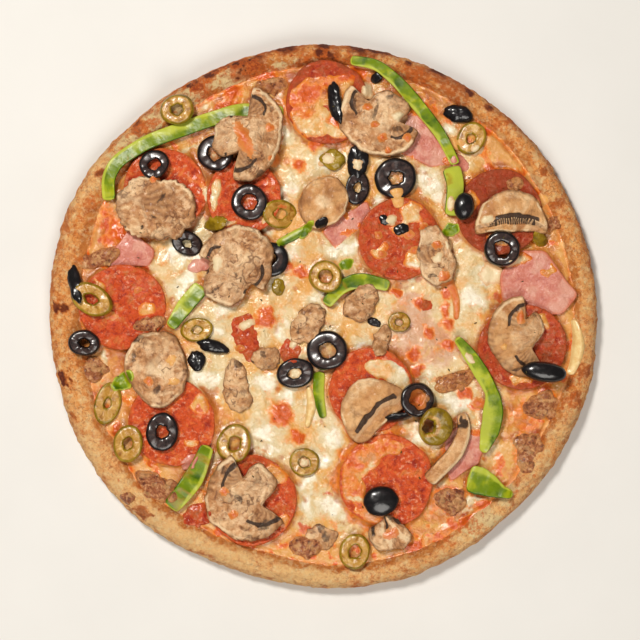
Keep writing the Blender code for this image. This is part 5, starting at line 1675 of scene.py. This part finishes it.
def ribbon(heap, route, widths, soften, sunk, tall, crown, paint_of):
    """Add a low strip to a heap: it rises tall above the ground, and by crown more along its middle."""
    ground = blur(GROUND.height, soften)

    def top_of(x, y, across):
        return read_field(ground, x, y) + tall + crown * (1.0 - across ** 2)

    def under_of(x, y):
        return read_field(ground, x, y) - sunk

    points, across = swept(route, widths, under_of, top_of)[:2]
    heap.add(points, **paint_of(across))


def settle(heap, name, finish, slot, *nodes):
    """Turn a heap into one piece that rides on the pizza, and count it as ground."""
    piece = heap.piece(name, finish)
    GROUND.add(piece)
    print(name, "triangles:", triangles(piece))
    return dress(piece, slot, *nodes)


# %% [markdown]
# Scraps that the cheese half hides.
# Slivers of pepperoni and ham, an onion strip and small mushroom pieces look out between films of cheese.
# They are laid first and low, so that the pieces which follow lie over them.

# %% Scraps
PEPPERONI_SCRAPS = ((-41, -11, 14, 26, 10, 1.0), (-18, -18, 11, 12, 0, 0.9), (-66, -105, 16, 11, 20, 1.4),
                    (54, 6, 7, 6, 0, 0.7))
HAM_SCRAPS = ((-66, 27, 15, 8, 20, 0.9), (-71, -77, 10, 7, 40, 0.8), (72, 81, 12, 8, -50, 0.8))
SMALL_MUSHROOMS = (
    (-30, -22, 15, 13, 20, 4.0), (-9, -4, 22, 17, 60, 4.2), (20, 7, 23, 18, 20, 4.2),
    (30, -13, 17, 9, 80, 3.8), (-46, -37, 33, 16, 95, 3.6), (-2, -117, 16, 13, 10, 2.2),
)
CRUMBLES = (
    (-121, -28, 14, 11, 80, 2.6), (-89, -89, 24, 12, -35, 2.4), (115, -47, 19, 14, 30, 2.2),
    (69, -34, 21, 10, 20, 2.2), (-10, -122, 18, 11, 0, 2.3), (67, -97, 16, 14, 0, 2.0),
    (-118, 31, 21, 9, 25, 2.2), (-92, -4, 17, 7, 15, 2.0), (108, -71, 11, 20, -20, 1.5),
    (-28, 122, 17, 9, 10, 1.6), (101, 70, 9, 7, 0, 1.6), (121, 49, 9, 7, 50, 1.8),
    (-104, -96, 8, 6, 0, 1.8),
)

# How far some of the crumbles, by their place in the table, have melted into the cheese
MELTED = {2: 0.35, 3: 0.6, 8: 0.3, 9: 0.5, 10: 0.6, 11: 0.3}


def make_crumble_finish():
    finish = Finish("sausage", roughness=0.40, specular=0.45, coat=0.15)
    base = finish.mottle(2.4, [(104, 44, 20), (172, 100, 58), (222, 164, 112)], 0.36, 0.64)
    base = finish.stain(base, finish.noise(5.0, 4.0, 0.6), 0.50, 0.62, 0.5, (230, 178, 116))
    edge = finish.product(finish.painted("edge"), finish.band(finish.noise(1.8, 5.0, 0.7), 0.30, 0.60))
    base = finish.stain(base, finish.shaken(edge, 3.0, 0.8), 0.2, 1.0, 0.75, (214, 140, 72))
    return finish.done(base, ((2.4, 6.0, 0.68), 2.2), ((0.8, 4.0), 0.4))


CRUMBLE_FINISH = make_crumble_finish()


def make_scraps():
    pepperoni, ham = Heap(), Heap()
    for seed, (x, y, long, wide, turn, tall) in enumerate(PEPPERONI_SCRAPS):
        lump(pepperoni, (x, y), long, wide, turn, tall, seed, 0.30, 0.35, 0.8, 0.3, 60, edge=0.5, dark=0.45)
    for seed, (x, y, long, wide, turn, tall) in enumerate(HAM_SCRAPS):
        lump(ham, (x, y), long, wide, turn, tall, 20 + seed, 0.22, 0.18, 0.8, 0.3, 48, edge=0.2)
    settle(pepperoni, "pepperoni_scraps", PEPPERONI_FINISH, "pepperoni")
    settle(ham, "ham_scraps", HAM_FINISH, "ham")


def make_small_mushrooms():
    heap = Heap()

    def gill_of(seed):
        return lambda x, y, out: 0.62 * step(rough(x, y, 6.5, 330 + seed, 3), 0.38, 0.70)

    for seed, (x, y, long, wide, turn, tall) in enumerate(SMALL_MUSHROOMS):
        lump(heap, (x, y), long, wide, turn, tall, 40 + seed, 0.27, 1.0, 1.0, 0.28, 72, gill=gill_of(seed),
             rim=lambda x, y, out: 0.62 * step(out, 0.84, 0.99), pale=0.3, line=0.4,
             crease=lambda x, y, out: creases(x, y, 5.0, 335), dry=0.8, shade=0.0,
             streak=lambda x, y, out: 0.5 + 0.5 * rough(0.5 * x, y, 3.5, 336, 3))
    settle(heap, "small_mushrooms", MUSHROOM_FINISH, "mushroom", "cheese")


def make_crumbles():
    heap = Heap()

    def browned(x, y):
        return step(rough(x, y, 4.0, 340, 2), 0.3, 0.9)

    def edge_of(melted):
        return lambda x, y, out: melted + step(out, 0.7, 1.0) + 0.4 * browned(x, y)

    for seed, (x, y, long, wide, turn, tall) in enumerate(CRUMBLES):
        melted = MELTED.get(seed, 0.0)
        lump(heap, (x, y), long, wide, turn, tall, 60 + seed, 0.20, 1.1, 1.0, 0.45, 56,
             edge=edge_of(melted))
        for part in range(3):
            lean = math.radians(turn + 40.0 + 120.0 * part)
            near = (x + 0.36 * long * math.cos(lean), y + 0.36 * wide * math.sin(lean))
            lump(heap, near, 0.5 * wide, 0.42 * wide, turn + 50.0 * part, 1.6, 90 + 3 * seed + part,
                 0.2, 0.5, 1.0, 0.5, 28, edge=0.2 + melted)
    settle(heap, "sausage_crumbles", CRUMBLE_FINISH, "pepperoni", "cheese")


make_scraps()
make_small_mushrooms()
make_crumbles()

# %% [markdown]
# Small olives and pepper bits.
# The functions of the large slices make these too, on the plane that best fits the ground beneath them.

# %% Small olives and pepper
SMALL_BLACK_RINGS = ((-72, 38.5, 16, 12, 5, -20), (18, 68, 17, 12, 5, 80))
SMALL_BLACK_ENDS = (
    (71, 107, 16, 10, -15, 4.0), (18, 81, 19, 11, 85, 4.2), (-58, -16, 17, 7, -15, 3.6),
    (6, 113, 7, 23, 8, 3.4), (-131, 18, 7, 20, 15, 3.2), (40, -53, 16, 5, 10, 3.4),
    (-67, -23, 9, 11, 0, 3.2), (28, 126, 6, 6, 0, 2.6), (32, 51, 5, 7, 30, 1.2), (41, 46, 9, 6, 0, 1.4),
    (-1, 49, 8, 5, 30, 2.4), (27, -3, 8, 4, -20, 1.2),
)
SMALL_GREEN_RINGS = (
    (78, 94, 17, 14, 5, 60), (-23, 54, 17, 14, 6, 0), (40, -3, 11, 10, 4, 0), (-10, -77, 15, 14, 6, 0),
    (-67, -7, 16, 12, 5, 10), (-114, -46, 21, 13, 5, 75),
)
SMALL_GREEN_ENDS = ((-57, 49, 14, 9, 10, 3.6), (5, 83, 13, 12, 0, 3.6), (114, 41, 7, 11, 30, 3.0),
                    (-24, 16, 7, 9, 0, 2.0))
PEPPER_BITS = ((67, 46, 11, 7, 30, 1.1), (-106, -34, 14, 9, 40, 1.4), (-9, 46, 12, 5, 50, 1.8),
               (12, 28, 8, 6, 20, 0.8))
PEPPER_SHREDS = (([(-2, -29), (-3, -41), (0, -54)], (6, 6, 4)),
                 ([(-25, 38), (-17, 42), (-8, 47)], (4, 5, 4)))


def small_rings(heap, table, seed):
    for index, (x, y, long, wide, hole, turn) in enumerate(table):
        plane = lean_of((x, y), 0.45 * long)
        points, cut = ring_grid((x, y), long, wide, hole, turn, lambda px, py: plane(px, py) + 3.3,
                                lambda px, py: plane(px, py) - 1.0, seed + index, 0.4, 0.2)
        heap.add(points, ring=True, cut=cut)


def small_ends(heap, table, seed):
    for index, (x, y, long, wide, turn, tall) in enumerate(table):
        plane = lean_of((x, y), 0.45 * max(long, wide))
        points = dome_grid((x, y), long, wide, turn, lambda px, py: plane(px, py) + tall,
                           lambda px, py: plane(px, py) - 1.0, seed + index, 0.35, ragged=0.17)
        heap.add(points, cut=0.0)


def make_small_olives():
    black, green = Heap(), Heap()
    small_rings(black, SMALL_BLACK_RINGS, 40)
    small_ends(black, SMALL_BLACK_ENDS, 50)
    small_rings(green, SMALL_GREEN_RINGS, 70)
    small_ends(green, SMALL_GREEN_ENDS, 80)
    settle(black, "small_black_olives", BLACK_FINISH, "black_olive", "cheese")
    settle(green, "small_green_olives", GREEN_FINISH, "green_olive", "cheese")


def make_pepper_bits():
    heap = Heap()
    for seed, (x, y, long, wide, turn, tall) in enumerate(PEPPER_BITS):
        lump(heap, (x, y), long, wide, turn, tall, 120 + seed, 0.26, 0.4, 1.0, 0.3, 48,
             flesh=lambda px, py, out: step(out, 0.6, 1.0), brown=0.2, skin=0.0)
    for route, widths in PEPPER_SHREDS:
        ribbon(heap, route, widths, 1.0, 0.8, 1.0, 0.5,
               lambda across: {"flesh": 0.5 + 0.5 * across, "brown": 0.1, "skin": 0.0})
    settle(heap, "pepper_bits", PEPPER_FINISH, "green_pepper", "cheese")


make_small_olives()
make_pepper_bits()

# %% [markdown]
# Onion.
# Two slivers of onion, nearly clear from the heat, with faint lines along them.

# %% Onion
ONION_SLIVERS = (([(130, -31), (134, -22), (135, -12), (132, -1)], (4, 7, 3)),
                 ([(-8, -37), (-6, -48), (-9, -59)], (3, 5, 3)))


def make_onion():
    finish = Finish("onion", roughness=0.3, specular=0.5, coat=0.2)
    cloud = finish.noise(3.0, 4.0, 0.6)
    base = finish.mix(finish.band(cloud, 0.3, 0.7), rgb(238, 212, 150), rgb(222, 178, 110))
    base = finish.mix(finish.product(finish.painted("vein"), 0.5), base, rgb(198, 150, 84))
    finish.bump(cloud, 0.4)
    heap = Heap()
    for route, widths in ONION_SLIVERS:
        ribbon(heap, route, widths, 1.2, 0.8, 0.8, 0.7,
               lambda across: {"vein": 0.5 + 0.5 * np.cos(9.0 * across)})
    settle(heap, "onion_slivers", finish.done(base), "melted_cheese")


make_onion()

# %% [markdown]
# Cheese over the toppings.
# Shreds of cheese fell on top too. They melted into dabs, and the high ones browned or blistered with oil.
# A dab is a thin lump that follows what it lies on, painted like the sheet below.

# %% Dabs of cheese
# Middle, length, width, turn, height and kind: w is white, o is browned orange and y is yellow
DABS = (
    (-42, 94, 16, 6, -66, 0.9, "o"), (-28, 99, 4, 4, 20, 0.7, "o"), (-26, 83, 5, 6, 0, 0.8, "o"),
    (23, 110, 5, 4, 0, 0.9, "o"), (31, 94, 5, 4, 0, 0.9, "o"), (34, 87, 4, 4, 0, 0.9, "o"),
    (44, 94, 4, 4, 0, 0.9, "o"), (27, 101, 4, 3, 0, 0.8, "o"), (-56, 28, 6, 8, 10, 0.9, "w"),
    (86, 51, 7, 4, 20, 1.0, "w"), (60, 31, 6, 4, 40, 1.1, "w"), (66, 38, 4, 6, 10, 1.0, "w"),
    (23, 120, 5, 7, 10, 1.6, "w"), (40, 105, 8, 5, -20, 1.8, "w"), (101, 29, 8, 3, 15, 0.8, "w"),
    (64, 20, 6, 7, 0, 1.0, "o"), (-15, -30, 6, 5, 10, 2.2, "w"), (49, -44, 8, 8, 0, 1.6, "o"),
    (18, 80, 5, 5, 0, 0.8, "w"), (2, 83, 8, 5, 10, 0.8, "w"), (104, 0, 5, 6, 0, 1.2, "o"),
    (95, -16, 3, 3, 0, 0.7, "y"), (88, 22, 11, 8, 0, 1.0, "w"), (-52, -92, 5, 4, 0, 0.8, "o"),
    (-47, -104, 5, 4, 0, 0.8, "o"), (-92, -34, 4, 4, 0, 0.7, "o"), (70, 92, 6, 5, 0, 0.8, "y"),
    (81, 88, 6, 5, 0, 0.8, "w"), (-22, 57, 5, 4, 0, 0.9, "o"), (-26, 50, 5, 4, 0, 0.9, "y"),
    (82, -46, 6, 5, 0, 0.9, "o"), (76, -22, 7, 4, -40, 0.8, "w"), (66, 60, 6, 8, 0, 0.9, "w"),
    (116, 62, 6, 5, 0, 0.8, "y"), (-10, -77, 4, 4, 0, 1.6, "w"), (-80, -23, 4, 5, 0, 0.8, "y"),
    (-79, -34, 5, 4, 0, 0.8, "y"), (36, -114, 7, 5, 20, 0.8, "o"), (60, 38, 5, 4, 0, 0.9, "o"),
    (36, 51, 6, 4, 20, 1.3, "w"), (45, 43, 5, 4, 0, 1.0, "o"), (-23, 54, 5, 5, 0, 2.0, "y"),
    (-40, -4, 7, 4, 20, 1.2, "w"), (-44, -17, 4, 3, 0, 1.1, "o"), (-16, -15, 4, 3, 30, 1.1, "w"),
    (31, 33, 5, 4, 0, 0.8, "o"), (48, 35, 5, 3, 30, 0.8, "o"), (29, 43, 4, 4, 0, 0.8, "o"),
    (53, 47, 5, 4, 60, 0.8, "o"), (-98, 14, 4, 3, 20, 0.7, "o"), (-112, 0, 5, 4, 0, 0.7, "o"),
    (-89, 72, 4, 3, 0, 0.7, "o"),
)
DAB_BROWNING = {"w": 0.0, "y": 0.6, "o": 1.0}


def make_dab_finish():
    finish = Finish("cheese_dab", roughness=0.34, specular=0.5, coat=0.15)
    browning, out = finish.painted("browning"), finish.shaken(finish.painted("out"), 2.0, 0.5)
    base = finish.mix(finish.band(finish.shaken(browning, 2.0, 0.6), 0.15, 0.65), rgb(228, 206, 164),
                      rgb(224, 168, 90))
    base = finish.mix(finish.band(finish.shaken(browning, 1.6, 0.9), 0.50, 1.1), base, rgb(210, 110, 42))
    core = finish.product(finish.band(browning, 0.5, 1.0), finish.band(out, 0.50, 0.05))
    base = finish.cover(base, core, 0.7, rgb(196, 84, 36))
    base = finish.stain(base, out, 0.45, 0.95, 0.70, (204, 138, 76))
    return finish.done(base, ((2.6, 4.0), 0.6), ((0.9, 3.0), 0.2))


DRIPS = (([(64, 22), (69, 14), (71, 6), (70, -2)], (7, 5, 4, 3)),
         ([(38, 68), (39, 63), (40, 57)], (8, 7, 5)))


def make_dabs():
    heap = Heap()
    for (route, widths), browning in zip(DRIPS, (1.0, 0.6)):
        ribbon(heap, route, widths, 1.0, 0.6, 0.1, 0.6,
               lambda across: {"browning": browning, "out": np.abs(across)})
    for seed, (x, y, long, wide, turn, tall, kind) in enumerate(DABS):
        lump(heap, (x, y), 1.35 * long, 1.35 * wide, turn, tall, 140 + seed, 0.26, 0.20, 0.4, 1.5, 44,
             browning=DAB_BROWNING[kind], out=lambda px, py, out: out)
    settle(heap, "cheese_dabs", make_dab_finish(), "melted_cheese")


make_dabs()

# %% [markdown]
# Herbs.
# Dried herb flakes are scattered by a seeded draw: thin, dark and a few millimetres long at most.

# %% Herbs
HERB_COUNT = 60


def make_herbs():
    finish = Finish("dried_herbs", roughness=0.7, specular=0.3)
    material = finish.done(finish.mix(finish.noise(1.0), rgb(58, 50, 22), rgb(98, 84, 34)), ((0.4,), 0.1))
    random = np.random.default_rng(77)
    away = 118.0 * np.sqrt(random.uniform(0.0, 1.0, HERB_COUNT))
    heading = random.uniform(0.0, 2.0 * math.pi, HERB_COUNT)
    middle_x, middle_y = away * np.cos(heading), away * np.sin(heading)
    long = random.uniform(0.7, 1.9, HERB_COUNT)[:, None]
    turn = random.uniform(0.0, math.pi, HERB_COUNT)[:, None]
    # A flake is a flat eight-sided spindle: six points round it, and one above and one below
    corner = circle(6)[None, :]
    u, v = 0.5 * long * np.cos(corner), 0.22 * long * np.sin(corner)
    x = middle_x[:, None] + u * np.cos(turn) - v * np.sin(turn)
    y = middle_y[:, None] + u * np.sin(turn) + v * np.cos(turn)
    z = GROUND.at(x, y).mean(axis=1, keepdims=True) + 0.12 + 0.0 * x
    ring = np.stack([x, y, z], axis=-1)
    crown = np.stack([middle_x, middle_y, z[:, 0] + 0.18], axis=-1)[:, None, :]
    foot = np.stack([middle_x, middle_y, z[:, 0] - 0.18], axis=-1)[:, None, :]
    points = np.concatenate([ring, crown, foot], axis=1).reshape(-1, 3)
    here, beside = np.arange(6), (np.arange(6) + 1) % 6
    one = np.concatenate([np.stack([here, beside, np.full(6, 6)], axis=-1),
                          np.stack([beside, here, np.full(6, 7)], axis=-1)])
    corners = (one[None] + 8 * np.arange(HERB_COUNT)[:, None, None]).ravel()
    sizes = np.full(12 * HERB_COUNT, 3)
    piece = mesh_piece("herb_flakes", points, corners, sizes, {}, material)
    return dress(piece, "green_pepper")


make_herbs()
